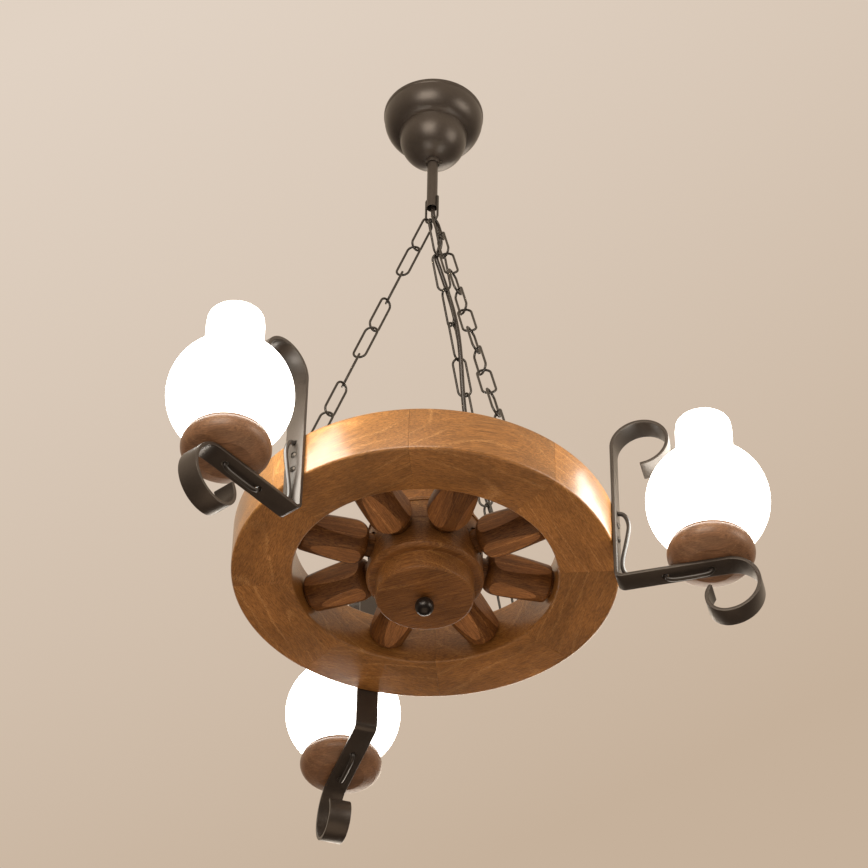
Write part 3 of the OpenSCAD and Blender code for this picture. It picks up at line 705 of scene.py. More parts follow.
@dataclass(frozen=True)
class MouldedBody(Finish):
    """Pressed ceramic or moulded nylon: plain, with a slight mottle and a soft skin."""

    mottle_mm: float = 2.0

    def build(self) -> bpy.types.Material:
        """Builds the material on Object coordinates.

        Returns:
            The material.
        """
        material, tree, shader = self.start()
        place = add_node(tree, "ShaderNodeTexCoord").outputs["Object"]
        often = 1 / (self.mottle_mm * MM)
        mottle = self.patches(tree, place, (often, often, often), 3.0).outputs["Fac"]
        tone = add_node(tree, "ShaderNodeValToRGB", None, {"Fac": mottle}, [(0.3, 0.88), (0.7, 1.0)])
        self.paint(tree, shader, linear(self.colour), tone.outputs["Color"])
        self.relief(tree, shader, mottle, 0.03)
        return material


RIM_WOOD = StainedWood("stained_beech_lacquered", "#A87338", 0.38)
TURNED_WOOD = StainedWood(
    "stained_beech_turned", "#8C5D30", 0.42, dark="#40260F", light="#AC7C44", coat=0.05, sheen=0.25,
)
# a darker copy of the turned hub's wood: painted shade for the shade that falls on the spokes inside the
# wheel
SHADED_SPOKE_WOOD = StainedWood(
    "stained_beech_spokes_painted_shade", "#774D26", 0.40, dark="#30190A", light="#A27240", coat=0.06, sheen=0.25,
)
CUP_WOOD = StainedWood(
    "dark_beech_lacquered", "#8C6546", 0.46, dark="#553B28", light="#B08A62", ring_mm=6.0, coat=0.20,
)
BLACK_LACQUER = PowderCoat("black_lacquer_on_wood", "#221D1A", 0.30, peel_mm=2.5, dust="#3A332E")
BRONZE_COAT = PowderCoat("bronze_powder_coat", "#433C36", 0.36)
BRONZE_WIRE = PowderCoat("bronze_lacquered_wire", "#35312C", 0.36, peel_mm=1.4)
DARK_SHEATH = Sheath("dark_pvc_sheath", "#2B2521", 0.34)
OPAL = OpalGlass("lit_opal_glass", "#F4F1EA", 0.12, glow=11.0)
BULB_GLASS = OpalGlass("frosted_bulb_glass", "#F6F2E8", 0.3, glow=2.0)
ZINC = PlatedSteel("zinc_plated_steel", "#C9C8C2", 0.32)
BLACK_STEEL = PlatedSteel("blackened_steel", "#4A443E", 0.40)
CERAMIC = MouldedBody("white_ceramic", "#D8D3C8", 0.5)
NYLON = MouldedBody("natural_nylon", "#DAD8CF", 0.45, mottle_mm=4.0)


@dataclass
class Workshop:
    """Keeps the materials and turns meshes into pieces that ride on the CAD model's bodies."""

    materials: dict[str, bpy.types.Material] = field(default_factory=dict)

    def material(self, finish: Finish) -> bpy.types.Material:
        """Looks up a finish's material, and builds it the first time.

        Args:
            finish: The finish.

        Returns:
            Its material.
        """
        if finish.name not in self.materials:
            self.materials[finish.name] = finish.build()
        return self.materials[finish.name]

    def dress(self, node: str, finish: Finish) -> None:
        """Gives a carried-over CAD node its finish.

        Args:
            node: Name of the node.
            finish: What it is made of.
        """
        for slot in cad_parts[node].material_slots:
            slot.material = self.material(finish)
        log.info("dressed %s in %s", node, finish.name)

    def piece(
        self, name: str, mesh: bpy.types.Mesh, finish: Finish, slot: str, body: str, nodes: list[str]
    ) -> bpy.types.Object:
        """Places a finished mesh in the scene.

        Args:
            name: Name of the piece.
            mesh: Its mesh, already where it belongs.
            finish: What it is made of.
            slot: Name of a material slot; not used.
            body: The body it rides on.
            nodes: CAD nodes that it stands for.

        Returns:
            The piece.
        """
        mesh.materials.clear()
        mesh.materials.append(self.material(finish))
        made = bpy.data.objects.new(name, mesh)
        bpy.context.scene.collection.objects.link(made)
        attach(made, body)
        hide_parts(*nodes)
        log.info("piece %s: %d faces, %s", name, len(mesh.polygons), finish.name)
        return made


# ---------------------------------------------------------------- Geometry Nodes


@dataclass
class Recipe:
    """A Geometry Nodes tree with named inputs."""

    name: str
    inputs: dict[str, str]
    tree: bpy.types.NodeTree = field(init=False)
    keys: dict[str, str] = field(init=False, default_factory=dict)
    source: bpy.types.Node = field(init=False)

    def __post_init__(self) -> None:
        """Makes the empty tree and its sockets."""
        self.tree = bpy.data.node_groups.new(self.name, "GeometryNodeTree")
        sockets = self.tree.interface
        sockets.new_socket("Geometry", in_out="INPUT", socket_type="NodeSocketGeometry")
        for label, kind in self.inputs.items():
            self.keys[label] = sockets.new_socket(label, in_out="INPUT", socket_type=kind).identifier
        sockets.new_socket("Geometry", in_out="OUTPUT", socket_type="NodeSocketGeometry")
        self.source = self.tree.nodes.new("NodeGroupInput")

    def close(self, geometry: Socket) -> None:
        """Sets the material and leads the geometry out.

        Args:
            geometry: The finished geometry, with its copies realized.
        """
        dressed = add_node(self.tree, "GeometryNodeSetMaterial", None, {
            "Geometry": geometry, "Material": self.source.outputs["Material"],
        })
        out = self.tree.nodes.new("NodeGroupOutput")
        self.tree.links.new(dressed.outputs[0], out.inputs["Geometry"])

    def run(self, mesh: bpy.types.Mesh, values: dict[str, object]) -> bpy.types.Mesh:
        """Runs the tree on a mesh.

        Args:
            mesh: The geometry that goes in.
            values: A value for each named input.

        Returns:
            The result as a plain mesh.
        """
        holder = bpy.data.objects.new(self.name, mesh)
        step = holder.modifiers.new(self.name, "NODES")
        step.node_group = self.tree
        for label, value in values.items():
            step[self.keys[label]] = value
        bpy.context.scene.collection.objects.link(holder)
        graph = bpy.context.evaluated_depsgraph_get()
        result = bpy.data.meshes.new_from_object(
            holder.evaluated_get(graph), preserve_all_data_layers=True, depsgraph=graph
        )
        holder.modifiers.clear()
        bpy.data.objects.remove(holder)
        return result


class CopyRecipe(Recipe):
    """Sets a copy of one piece on each point, turned as the point says, each from its own board."""

    def __init__(self) -> None:
        """Builds the tree."""
        super().__init__("copies_on_points", {
            "Piece": "NodeSocketObject", "Board shift mm": "NodeSocketVector",
            "Board roll": "NodeSocketFloat", "Tone spread": "NodeSocketFloat", "Seed": "NodeSocketInt",
            "Material": "NodeSocketMaterial",
        })
        tree, given = self.tree, self.source.outputs
        piece = add_node(tree, "GeometryNodeObjectInfo", inputs={"Object": given["Piece"]})
        turn, grain, board = (
            add_node(tree, "GeometryNodeInputNamedAttribute", {"data_type": kind}, {"Name": name}).outputs[0]
            for name, kind in (("turn", "FLOAT_VECTOR"), ("grain", "FLOAT_VECTOR"), ("board", "INT"))
        )
        copies = add_node(tree, "GeometryNodeInstanceOnPoints", inputs={
            "Points": given["Geometry"], "Instance": piece.outputs["Geometry"], "Rotation": turn,
        })
        index = add_node(tree, "GeometryNodeInputIndex")
        store = "GeometryNodeStoreNamedAttribute"
        numbered = add_node(tree, store, {"data_type": "INT", "domain": "INSTANCE"}, {
            "Geometry": copies.outputs[0], "Name": "board", "Value": index.outputs[0],
        })
        real = add_node(tree, "GeometryNodeRealizeInstances", inputs={"Geometry": numbered.outputs[0]})
        back = add_node(tree, "ShaderNodeVectorMath", {"operation": "SCALE"}, {
            0: given["Board shift mm"], "Scale": -1.0,
        })
        shift = add_node(tree, "FunctionNodeRandomValue", {"data_type": "FLOAT_VECTOR"}, {
            0: back.outputs[0], 1: given["Board shift mm"], "ID": board, "Seed": given["Seed"],
        })
        roll = add_node(tree, "FunctionNodeRandomValue", {"data_type": "FLOAT"}, {
            2: 0.0, 3: given["Board roll"], "ID": board, "Seed": given["Seed"],
        })
        darkest = add_node(tree, "ShaderNodeMath", {"operation": "MULTIPLY"}, {
            0: given["Tone spread"], 1: -1.0,
        })
        tone = add_node(tree, "FunctionNodeRandomValue", {"data_type": "FLOAT"}, {
            2: darkest.outputs[0], 3: given["Tone spread"], "ID": board, "Seed": given["Seed"],
        })
        rolled = add_node(tree, "ShaderNodeVectorRotate", {"rotation_type": "X_AXIS"}, {
            "Vector": grain, "Angle": roll.outputs[1],
        })
        moved = add_node(tree, "ShaderNodeVectorMath", {"operation": "ADD"}, {
            0: rolled.outputs[0], 1: shift.outputs[0],
        })
        result = real.outputs[0]
        traits = (("grain", "FLOAT_VECTOR", moved.outputs[0]), ("tone", "FLOAT", tone.outputs[1]))
        for name, kind, value in traits:
            result = add_node(tree, store, {"data_type": kind, "domain": "POINT"}, {
                "Geometry": result, "Name": name, "Value": value,
            }).outputs[0]
        self.close(result)

    def place(
        self, piece: bpy.types.Mesh, spots: list[tuple[Vector, Vector]], material: bpy.types.Material,
        shift: Vector = ORIGIN, roll: float = 0.0, tones: float = 0.0, seed: int = 1,
    ) -> bpy.types.Mesh:
        """Copies a piece to several spots.

        Args:
            piece: The piece's mesh, at the origin.
            spots: Place in millimetres and turn in radians of each copy.
            material: What the copies are made of.
            shift: How far apart in the timber the boards may lie, in millimetres.
            roll: How far the boards may be rolled round their fibres, in radians.
            tones: How much lighter or darker than the others a board may be.
            seed: Seed of the choices above.

        Returns:
            One mesh with all copies.
        """
        points = bpy.data.meshes.new("spots")
        points.from_pydata([place * MM for place, _ in spots], [], [])
        turns = points.attributes.new("turn", "FLOAT_VECTOR", "POINT")
        turns.data.foreach_set("vector", [value for _, turn in spots for value in turn])
        holder = bpy.data.objects.new("copied_piece", piece)
        bpy.context.scene.collection.objects.link(holder)
        result = self.run(points, {
            "Piece": holder, "Board shift mm": tuple(shift), "Board roll": roll, "Tone spread": tones,
            "Seed": seed, "Material": material,
        })
        bpy.data.objects.remove(holder)
        return result


class ChainRecipe(Recipe):
    """Bends one oblong link from wire and threads its copies along a line, each turned to the last."""

    def __init__(self) -> None:
        """Builds the tree."""
        super().__init__("chain_of_links", {
            "Links": "NodeSocketInt", "First": "NodeSocketVector", "Pitch": "NodeSocketVector",
            "Link width": "NodeSocketFloat", "Link length": "NodeSocketFloat",
            "Bend radius": "NodeSocketFloat", "Wire radius": "NodeSocketFloat",
            "First turn": "NodeSocketFloat", "Turn step": "NodeSocketFloat",
            "Start": "NodeSocketVector", "Lean": "NodeSocketVector", "Material": "NodeSocketMaterial",
        })
        tree, given = self.tree, self.source.outputs
        outline = add_node(tree, "GeometryNodeCurvePrimitiveQuadrilateral", inputs={
            "Width": given["Link width"], "Height": given["Link length"],
        })
        bent = add_node(tree, "GeometryNodeFilletCurve", {"mode": "POLY"}, {
            "Curve": outline.outputs[0], "Radius": given["Bend radius"], "Count": 7, "Limit Radius": True,
        })
        wire = add_node(tree, "GeometryNodeCurvePrimitiveCircle", inputs={
            "Resolution": 14, "Radius": given["Wire radius"],
        })
        link = add_node(tree, "GeometryNodeCurveToMesh", inputs={
            "Curve": bent.outputs[0], "Profile Curve": wire.outputs[0],
        })
        standing = add_node(tree, "GeometryNodeTransform", inputs={
            "Geometry": link.outputs[0], "Rotation": (math.pi / 2, 0.0, 0.0),
        })
        line = add_node(tree, "GeometryNodeMeshLine", {"mode": "OFFSET"}, {
            "Count": given["Links"], "Start Location": given["First"], "Offset": given["Pitch"],
        })
        index = add_node(tree, "GeometryNodeInputIndex")
        twist = add_node(tree, "ShaderNodeMath", {"operation": "MULTIPLY_ADD"}, {
            0: index.outputs[0], 1: given["Turn step"], 2: given["First turn"],
        })
        turn = add_node(tree, "ShaderNodeCombineXYZ", inputs={"Z": twist.outputs[0]})
        threaded = add_node(tree, "GeometryNodeInstanceOnPoints", inputs={
            "Points": line.outputs[0], "Instance": standing.outputs[0], "Rotation": turn.outputs[0],
        })
        hung = add_node(tree, "GeometryNodeTransform", inputs={
            "Geometry": threaded.outputs[0], "Translation": given["Start"], "Rotation": given["Lean"],
        })
        real = add_node(tree, "GeometryNodeRealizeInstances", inputs={"Geometry": hung.outputs[0]})
        smooth = add_node(tree, "GeometryNodeSetShadeSmooth", inputs={"Geometry": real.outputs[0]})
        self.close(smooth.outputs[0])


# ---------------------------------------------------------------- the wheel


@dataclass
class Wheel:
    """The wooden wheel: rim of glued felloes, turned spokes, hub and finial ball. Sizes in millimetres."""

    shop: Workshop
    copies: CopyRecipe
    count: int = 8
    outer: float = 210.0
    inner: float = 144.0
    height: float = 57.0
    bottom: float = -750.0
    edge: float = 3.0
    first_joint: float = -95.5
    joint_chamfer: float = 0.14
    groove: Point2 = (186.0, 198.0)
    groove_depth: float = 14.0
    spoke_up: float = 1.5
    spoke_neck: float = 13.0
    spoke_widest: float = 24.4
    spoke_end: float = 21.0
    spoke_tenon: float = 15.5
    spoke_flats: tuple[float, ...] = (20.4, 21.6, 20.9, 21.9)
    spoke_rolls: tuple[float, ...] = (45, 90, 0, 180, 90, 0, 180, 270)
    hub_half: float = 59.0
    hub_cap: float = 53.5
    hub_flange: float = 64.0
    hub_drum: float = 62.6
    socket: float = 15.5
    socket_floor: float = 60.0
    ball_radius: float = 10.5

    @property
    def step(self) -> float:
        """Angle that one felloe spans, in degrees."""
        return 360 / self.count

    @property
    def axis_height(self) -> float:
        """Height of the spokes' axes and of the middle of the hub."""
        return self.bottom + self.height / 2 + self.spoke_up

    def felloe_outline(self, inset: float) -> list[Point2]:
        """Cross-section of the rim, drawn in by the given amount.

        Args:
            inset: How far every face is drawn in.

        Returns:
            (radius, height above the underside) points.
        """
        low, high = inset, self.height - inset
        inner, outer = self.inner + inset, self.outer - inset
        first, last = self.groove[0] - inset, self.groove[1] + inset
        floor = high - self.groove_depth
        corners = [
            (inner + 20, low, 0), (outer, low, self.edge), (outer, high, self.edge), (last, high, 0.8),
            (last, floor, 0.5), (first, floor, 0.5), (first, high, 0.8), (inner, high, self.edge),
            (inner, low, self.edge), (inner + 20, low, 0),
        ]
        return rounded(corners)[:-1]

    def felloe(self) -> bpy.types.Mesh:
        """One segment, from its first joint at angle 0, with a hairline chamfer at both joints.

        Returns:
            Its mesh.
        """
        chamfer = [(0.012, self.joint_chamfer), (0.045, 0.0)]
        stations = chamfer + [(self.step * k / 24, 0.0) for k in range(1, 24)]
        stations += [(self.step - angle, inset) for angle, inset in chamfer[::-1]]
        mesh = sweep("felloe", [
            [polar(r, math.radians(angle), self.bottom + h) for r, h in self.felloe_outline(inset)]
            for angle, inset in stations
        ])
        middle = polar((self.inner + self.outer) / 2, math.radians(self.step / 2), self.axis_height)
        set_grain(mesh, middle, self.step / 2 + 90, 7.0)
        return mesh

    def spoke_ring(self, x: float, radius: float) -> list[Vector]:
        """Points round a spoke at one place, with a point on each edge of its four flats.

        Args:
            x: Distance from the wheel's axis.
            radius: Radius of the turned surface there.

        Returns:
            Points in order round the spoke.
        """
        edges = [max(math.acos(min(flat / radius, 1.0)), 0.02) for flat in self.spoke_flats]
        ring = []
        for quarter, (flat, edge) in enumerate(zip(self.spoke_flats, edges)):
            gap = math.pi / 2 - edge - edges[(quarter + 1) % 4]
            turns = [-edge + 2 * edge * k / 8 for k in range(9)] + [edge + gap * k / 14 for k in range(1, 14)]
            for k, off in enumerate(turns):
                near = min(radius, flat / math.cos(off)) if k < 9 else radius
                a = off + quarter * math.pi / 2
                ring.append(Vector((x, near * math.cos(a), near * math.sin(a))))
        return ring

    def spoke(self) -> bpy.types.Mesh:
        """One turned spoke along +X, with the leaf-shaped flats that its square blank left.

        The blank stood a little off the lathe's centre, so the four flats differ in width.

        Returns:
            Its mesh.
        """
        neck, widest, end, tenon = self.spoke_neck, self.spoke_widest, self.spoke_end, self.spoke_tenon
        belly, shoulder, taper = 84, 16, 53
        nose = [
            (belly - shoulder * math.cos(a), neck + (widest - neck) * math.sin(a))
            for a in (math.pi / 2 * k / 24 for k in range(25))
        ]
        body = [(belly + taper * k / 26, widest - (widest - end) * (k / 26) ** 1.5) for k in range(1, 27)]
        foot = [(x, r) for r, x in arc(end - 4, belly + taper, 4, 6, 90, 14)]
        outline = [(59.6, neck)] + nose + body + foot + [(141.0, tenon), (144.6, tenon)]
        rings = [self.spoke_ring(x, radius) for x, radius in outline]
        sides = len(rings[0])
        quarter = sides // 4
        planed = [0.0, 0.0] + [
            float(k % quarter < 8 and min(low[1], high[1]) > self.spoke_flats[k // quarter])
            for low, high in zip(outline, outline[1:]) for k in range(sides)
        ]
        # the faces have to stay in the order of planed, and they already point outwards
        mesh = bpy.data.meshes.new("spoke")
        mesh.from_pydata([point * MM for ring in rings for point in ring], [], sweep_faces(len(rings), sides))
        mesh.attributes.new("planed", "FLOAT", "FACE").data.foreach_set("value", planed)
        finish_mesh(mesh, 8.0)
        set_grain(mesh, ORIGIN, 0.0, 2.5)
        return mesh

    def hub(self) -> bpy.types.Mesh:
        """The turned hub: a drum between two flanges, two round caps, and a socket for each spoke.

        Returns:
            Its mesh.
        """
        end, cap, flange, drum = self.hub_half, self.hub_cap, self.hub_flange, self.hub_drum
        half = [(cap, end, 3.2), (cap, 35, 0.7), (flange, 35, 5.0), (flange, 28.2, 0.8), (drum, 28.0, 0)]
        wall = [(drum, z, 0) for z in (-22, -14, -7, 0, 4.2)] + [(drum - 0.3, 4.5, 0)]
        wall += [(drum, z, 0) for z in (4.8, 10, 16, 22)]
        corners = [(0, -end, 0)] + [(r, -z, e) for r, z, e in half] + wall + half[::-1] + [(0, end, 0)]
        axis = Vector((0, 0, self.axis_height))
        body = lathe("hub", rounded(corners, 8), 160, axis)
        floor = self.socket_floor
        cutters = []
        for n in range(self.count):
            a = math.radians(self.first_joint + self.step / 2 + self.step * n)
            way = [polar(r, a, self.axis_height) for r in (floor, floor + 0.05, floor + 9, floor + 10)]
            cutters.append(tube("socket", way, self.socket, 72))
        mesh = cut(body, cutters)
        set_grain(mesh, axis + Vector((0, 35, 78)), -21.0, 2.0)
        return mesh

    def ball(self) -> bpy.types.Mesh:
        """The finial ball, flattened where it meets the hub.

        Returns:
            Its mesh.
        """
        radius, flat_from = self.ball_radius, 68
        centre = Vector((0, 0, self.axis_height - self.hub_half - radius + 0.6))
        side = arc(0, 0, radius, -90, flat_from, 40)[1:]
        outline = [(0.0, -radius)] + side + [(0.0, radius * math.sin(math.radians(flat_from)))]
        return lathe("ball", outline, 64, centre)

    def build(self) -> None:
        """Makes and dresses every piece of the wheel."""
        shop, numbers = self.shop, range(1, self.count + 1)
        joints = [math.radians(self.first_joint + self.step * n) for n in range(self.count)]
        rim = self.copies.place(
            self.felloe(), [(ORIGIN, Vector((0, 0, a))) for a in joints], shop.material(RIM_WOOD),
            shift=Vector((400, 34, 46)), roll=math.pi, tones=0.18, seed=5,
        )
        felloes = [f"felloe_{n}" for n in numbers]
        shop.piece("rim_felloes", rim, RIM_WOOD, "lacquered_wood", "wheel", felloes)
        height = Vector((0, 0, self.axis_height))
        spots = [
            (height, Vector((math.radians(roll), 0, a + math.radians(self.step / 2))))
            for roll, a in zip(self.spoke_rolls, joints)
        ]
        spokes = self.copies.place(
            self.spoke(), spots, shop.material(SHADED_SPOKE_WOOD),
            shift=Vector((300, 26, 26)), roll=math.pi, tones=0.12, seed=3,
        )
        names = [f"spoke_{n}" for n in numbers]
        shop.piece("turned_spokes", spokes, SHADED_SPOKE_WOOD, "lacquered_wood", "wheel", names)
        shop.piece("turned_hub", self.hub(), TURNED_WOOD, "lacquered_wood", "wheel", ["hub"])
        shop.piece("ball_finial", self.ball(), BLACK_LACQUER, "black_lacquer", "finial", ["finial_ball"])
        shop.dress("hub_stud", ZINC)


# ---------------------------------------------------------------- what the wheel hangs on


@dataclass(frozen=True)
class ChainRun:
    """The line on which one chain hangs. Sizes in millimetres."""

    start: Vector
    end: Vector
    pitch: float

    @property
    def heading(self) -> Vector:
        """Unit vector from the bail to the eye."""
        return (self.end - self.start).normalized()

    @property
    def lean(self) -> float:
        """Angle between the chain and straight up, in radians."""
        return math.acos(self.heading.z)

    @property
    def turn(self) -> float:
        """Direction of the chain seen from above, in radians."""
        return math.atan2(self.heading.y, self.heading.x)

    @property
    def across(self) -> Vector:
        """Unit vector at right angles to the chain, in the upright plane through it."""
        lean, turn = self.lean, self.turn
        return Vector((math.cos(turn) * math.cos(lean), math.sin(turn) * math.cos(lean), -math.sin(lean)))

    @property
    def side(self) -> Vector:
        """Level unit vector at right angles to the chain."""
        return Vector((-self.heading.y, self.heading.x, 0)).normalized()

    def beside(self, way: float, radius: float, turn: float) -> Vector:
        """A point beside the chain.

        Args:
            way: How far along the chain it lies.
            radius: Its distance from the chain's line.
            turn: Its direction round that line, in degrees.

        Returns:
            The point.
        """
        a = math.radians(turn)
        aside = math.cos(a) * self.across + math.sin(a) * self.side
        return self.start + self.heading * way + radius * aside


@dataclass
class Hanging:
    """Canopy, stem, bail, chains and cable. Sizes in millimetres."""

    shop: Workshop
    copies: CopyRecipe
    canopy_radius: float = 61.0
    canopy_sheet: float = 1.0
    canopy_dome: float = 41.0
    stem_radius: float = 6.5
    stem_wall: float = 0.8
    stem_bottom: float = -167.0
    collar_top: float = -82.8
    wire: float = 2.8
    link_width: float = 18.0
    links: int = 11
    link_gap: float = 0.3
    hook_gap: float = 0.6
    bail_radius: float = 8.4
    pin_height: float = -150.0
    bail_height: float = -183.0
    bail_turn: float = math.radians(-35)
    eye_radius: float = 5.2
    eye_at: float = 176.0
    rim_top: float = -693.0
    cable_radius: float = 2.8
    turns: tuple[float, ...] = (177.0, 57.0, -63.0)
    seats: tuple[float, ...] = (-36.0, 0.0, 36.0)
    first_turns: tuple[float, ...] = (-50.0, 2.0, 60.0)
    turn_steps: tuple[float, ...] = (60.0, 60.0, -60.0)

    def canopy_side(self, inset: float, lip: float) -> list[Point2]:
        """One side of the canopy's sheet, from the ceiling down to the hole for the stem.

        Args:
            inset: How far it lies inside the outer side.
            lip: How far the rolled lip stands out.

        Returns:
            (radius, height) points.
        """
        side, dome = self.canopy_radius - inset, self.canopy_dome - inset
        wide, deep = 23.4 - inset, 32.0 - inset
        start = [(side + lip, 0.0), (side + lip, -3.6), (side + lip * 0.4, -4.8), (side, -5.6)]
        turns = (math.radians(80 * k / 24) for k in range(25))
        bell = [(37.6 + wide * math.cos(a), -6.0 - deep * math.sin(a)) for a in turns]
        end = math.degrees(math.acos(9.0 / dome))
        return start + bell + arc(0, -42.5 + inset * 0.4, dome, -4, -end, 32) + [(7.1, -82.7 + inset)]

    def canopy(self) -> bpy.types.Mesh:
        """The pressed canopy: a bell with a rolled lip over a ball-shaped lower part.

        Returns:
            Its mesh.
        """
        outline = self.canopy_side(0.0, 0.8) + self.canopy_side(self.canopy_sheet, 0.0)[::-1]
        return lathe("canopy", outline, 160)

    def collar(self) -> bpy.types.Mesh:
        """The lock collar, with its recessed underside.

        Returns:
            Its mesh.
        """
        top = self.collar_top
        corners = [
            (6.58, top - 4.5, 0), (7.6, top - 4.5, 0.2), (7.6, top - 6, 0.2), (8.6, top - 6, 0.6),
            (8.6, top, 0.9), (6.58, top, 0.3), (6.58, top - 4.5, 0),
        ]
        return lathe("collar", rounded(corners, 4)[:-1], 72)

    def stem(self) -> bpy.types.Mesh:
        """The stem tube with its cleaned-up lower edge.

        Returns:
            Its mesh.
        """
        outer, bore, low = self.stem_radius, self.stem_radius - self.stem_wall, self.stem_bottom
        corners = [
            (bore, -80, 0), (bore, low, 0.3), (outer, low, 0.35), (outer, -6, 0.4), (bore, -6, 0.2),
            (bore, -80, 0),
        ]
        return lathe("stem", rounded(corners, 4)[:-1], 64)

    def bail(self) -> bpy.types.Mesh:
        """The wire bail, with both ends turned in through the stem.

        Returns:
            Its mesh.
        """
        pin, bend = self.pin_height, 1.6
        half = arc(0, self.bail_height, self.bail_radius, -90, 0, 16)
        half += arc(self.bail_radius - bend, pin - bend, bend, 0, 90, 6) + [(5.0, pin)]
        flat = [(-x, z) for x, z in half[::-1]][:-1] + half
        across = polar(1, self.bail_turn)
        return tube("bail", [across * x + Vector((0, 0, z)) for x, z in flat], self.wire / 2)

    def chain_run(self, k: int) -> ChainRun:
        """Where a chain hangs.

        Args:
            k: Number of the chain.

        Returns:
            Its line, with the pitch of its links.
        """
        seat = math.radians(self.seats[k])
        aside = math.sin(seat) * polar(1, self.bail_turn) - Vector((0, 0, math.cos(seat)))
        start = Vector((0, 0, self.bail_height)) + self.bail_radius * aside
        top = self.rim_top + self.link_gap + self.wire / 2 + 2 * self.eye_radius
        end = polar(self.eye_at, math.radians(self.turns[k]), top)
        reach = (end - start).length + self.wire + 2 * self.hook_gap - self.link_gap
        return ChainRun(start, end, reach / self.links)

    def chain(self, k: int, recipe: ChainRecipe) -> bpy.types.Mesh:
        """Threads the links of one chain.

        Args:
            k: Number of the chain.
            recipe: How links are threaded.

        Returns:
            The chain's mesh.
        """
        run = self.chain_run(k)
        inner = run.pitch + self.link_gap
        return recipe.run(bpy.data.meshes.new("empty"), {
            "Links": self.links,
            "First": (0, 0, (inner / 2 - self.wire / 2 - self.hook_gap) * MM),
            "Pitch": (0, 0, run.pitch * MM),
            "Link width": (self.link_width - self.wire) * MM,
            "Link length": (inner + self.wire) * MM,
            "Bend radius": (self.link_width - self.wire) / 2 * MM,
            "Wire radius": self.wire / 2 * MM,
            "First turn": math.radians(self.first_turns[k]),
            "Turn step": math.radians(self.turn_steps[k]),
            "Start": tuple(run.start * MM),
            "Lean": (0.0, run.lean, run.turn),
            "Material": self.shop.material(BRONZE_WIRE),
        })

    def eyes(self) -> bpy.types.Mesh:
        """The three screw eyes: a shank that is bent round into a ring.

        Returns:
            Their mesh.
        """
        ring = [Vector((x, 0, z)) for x, z in arc(0, 0, self.eye_radius, -80, 256, 40)]
        foot = -self.eye_radius - self.wire / 2 - self.link_gap
        shank = [Vector((x, 0, foot + z)) for x, z in ((0, -22), (0, -20), (0, 0), (0.3, 1.2))]
        piece = tube("screw_eye", shank + ring, self.wire / 2, 14)
        spots = []
        for k in range(3):
            run = self.chain_run(k)
            t = math.radians(self.first_turns[k] + self.turn_steps[k] * (self.links - 1))
            normal = -math.sin(t) * run.across + math.cos(t) * run.side
            turn = Vector((0, 0, math.atan2(normal.y, normal.x)))
            spots.append((run.end - Vector((0, 0, self.eye_radius)), turn))
        return self.copies.place(piece, spots, self.shop.material(BRONZE_WIRE))

    def feed_cable(self) -> bpy.types.Mesh:
        """The cable that winds down the far chain, on the route that its CAD solid takes.

        Returns:
            Its mesh.
        """
        run = self.chain_run(1)
        away = Vector((-math.sin(self.bail_turn), math.cos(self.bail_turn), 0))
        out = polar(1, math.radians(self.turns[1]))
        aside = Vector((out.y, -out.x, 0))
        shift = self.stem_radius - self.stem_wall - self.cable_radius - 0.3
        top = [(0, 168.8), (0.4, 175), (2.6, 181.5), (7, 186.6), (11, 192), (14, 201)]
        join = [(24, 12.6, 182), (36, 11.4, 160)]
        foot = [(-12, 13, 26), (-2, 19, 10), (10, 22, 1.5), (15.6, 22, -6), (16, 22, -17)]
        route = [away * (shift + x) - Vector((0, 0, z)) for x, z in top]
        route += [run.beside(*point) for point in join]
        # from the first link on, the cable turns by 20 degrees in each third of a link
        first, thirds = run.pitch - self.wire / 2, (self.links - 2) * 3
        route += [run.beside(first + i * run.pitch / 3, 5.5, 122 + 20 * i) for i in range(thirds + 1)]
        route += [run.end + out * x + aside * y + Vector((0, 0, z)) for x, y, z in foot]
        return tube("feed_cable", soften(route, 4), self.cable_radius, 16)

    def build(self) -> None:
        """Makes and dresses everything between the ceiling and the wheel."""
        shop = self.shop
        shop.piece("pressed_canopy", self.canopy(), BRONZE_COAT, "bronze_paint", "canopy_set", ["canopy"])
        shop.piece("lock_collar", self.collar(), BRONZE_COAT, "bronze_paint", "canopy_set", ["canopy_collar"])
        shop.piece("hollow_stem", self.stem(), BRONZE_COAT, "bronze_paint", "ceiling", ["stem_tube"])
        shop.piece("wire_bail", self.bail(), BRONZE_WIRE, "dark_wire", "bail", ["hanging_bail"])
        recipe = ChainRecipe()
        for k, label in enumerate(["left", "far", "near"]):
            links = self.chain(k, recipe)
            shop.piece(f"links_{label}", links, BRONZE_WIRE, "dark_wire", "wheel", [f"chain_{label}"])
        shop.piece("eyes_in_rim", self.eyes(), BRONZE_WIRE, "dark_wire", "wheel", ["screw_eyes"])
        shop.piece("cable_on_chain", self.feed_cable(), DARK_SHEATH, "cable_sheath", "wheel", ["feed_cable"])
        for node in ("stem_cable", "rim_wiring"):
            shop.dress(node, DARK_SHEATH)
        for node in ("ceiling_strap", "stem_nuts"):
            shop.dress(node, ZINC)
        for node in ("terminal_block", "rim_connector"):
            shop.dress(node, NYLON)
        shop.dress("collar_screw", BLACK_STEEL)


# ---------------------------------------------------------------- the lamps


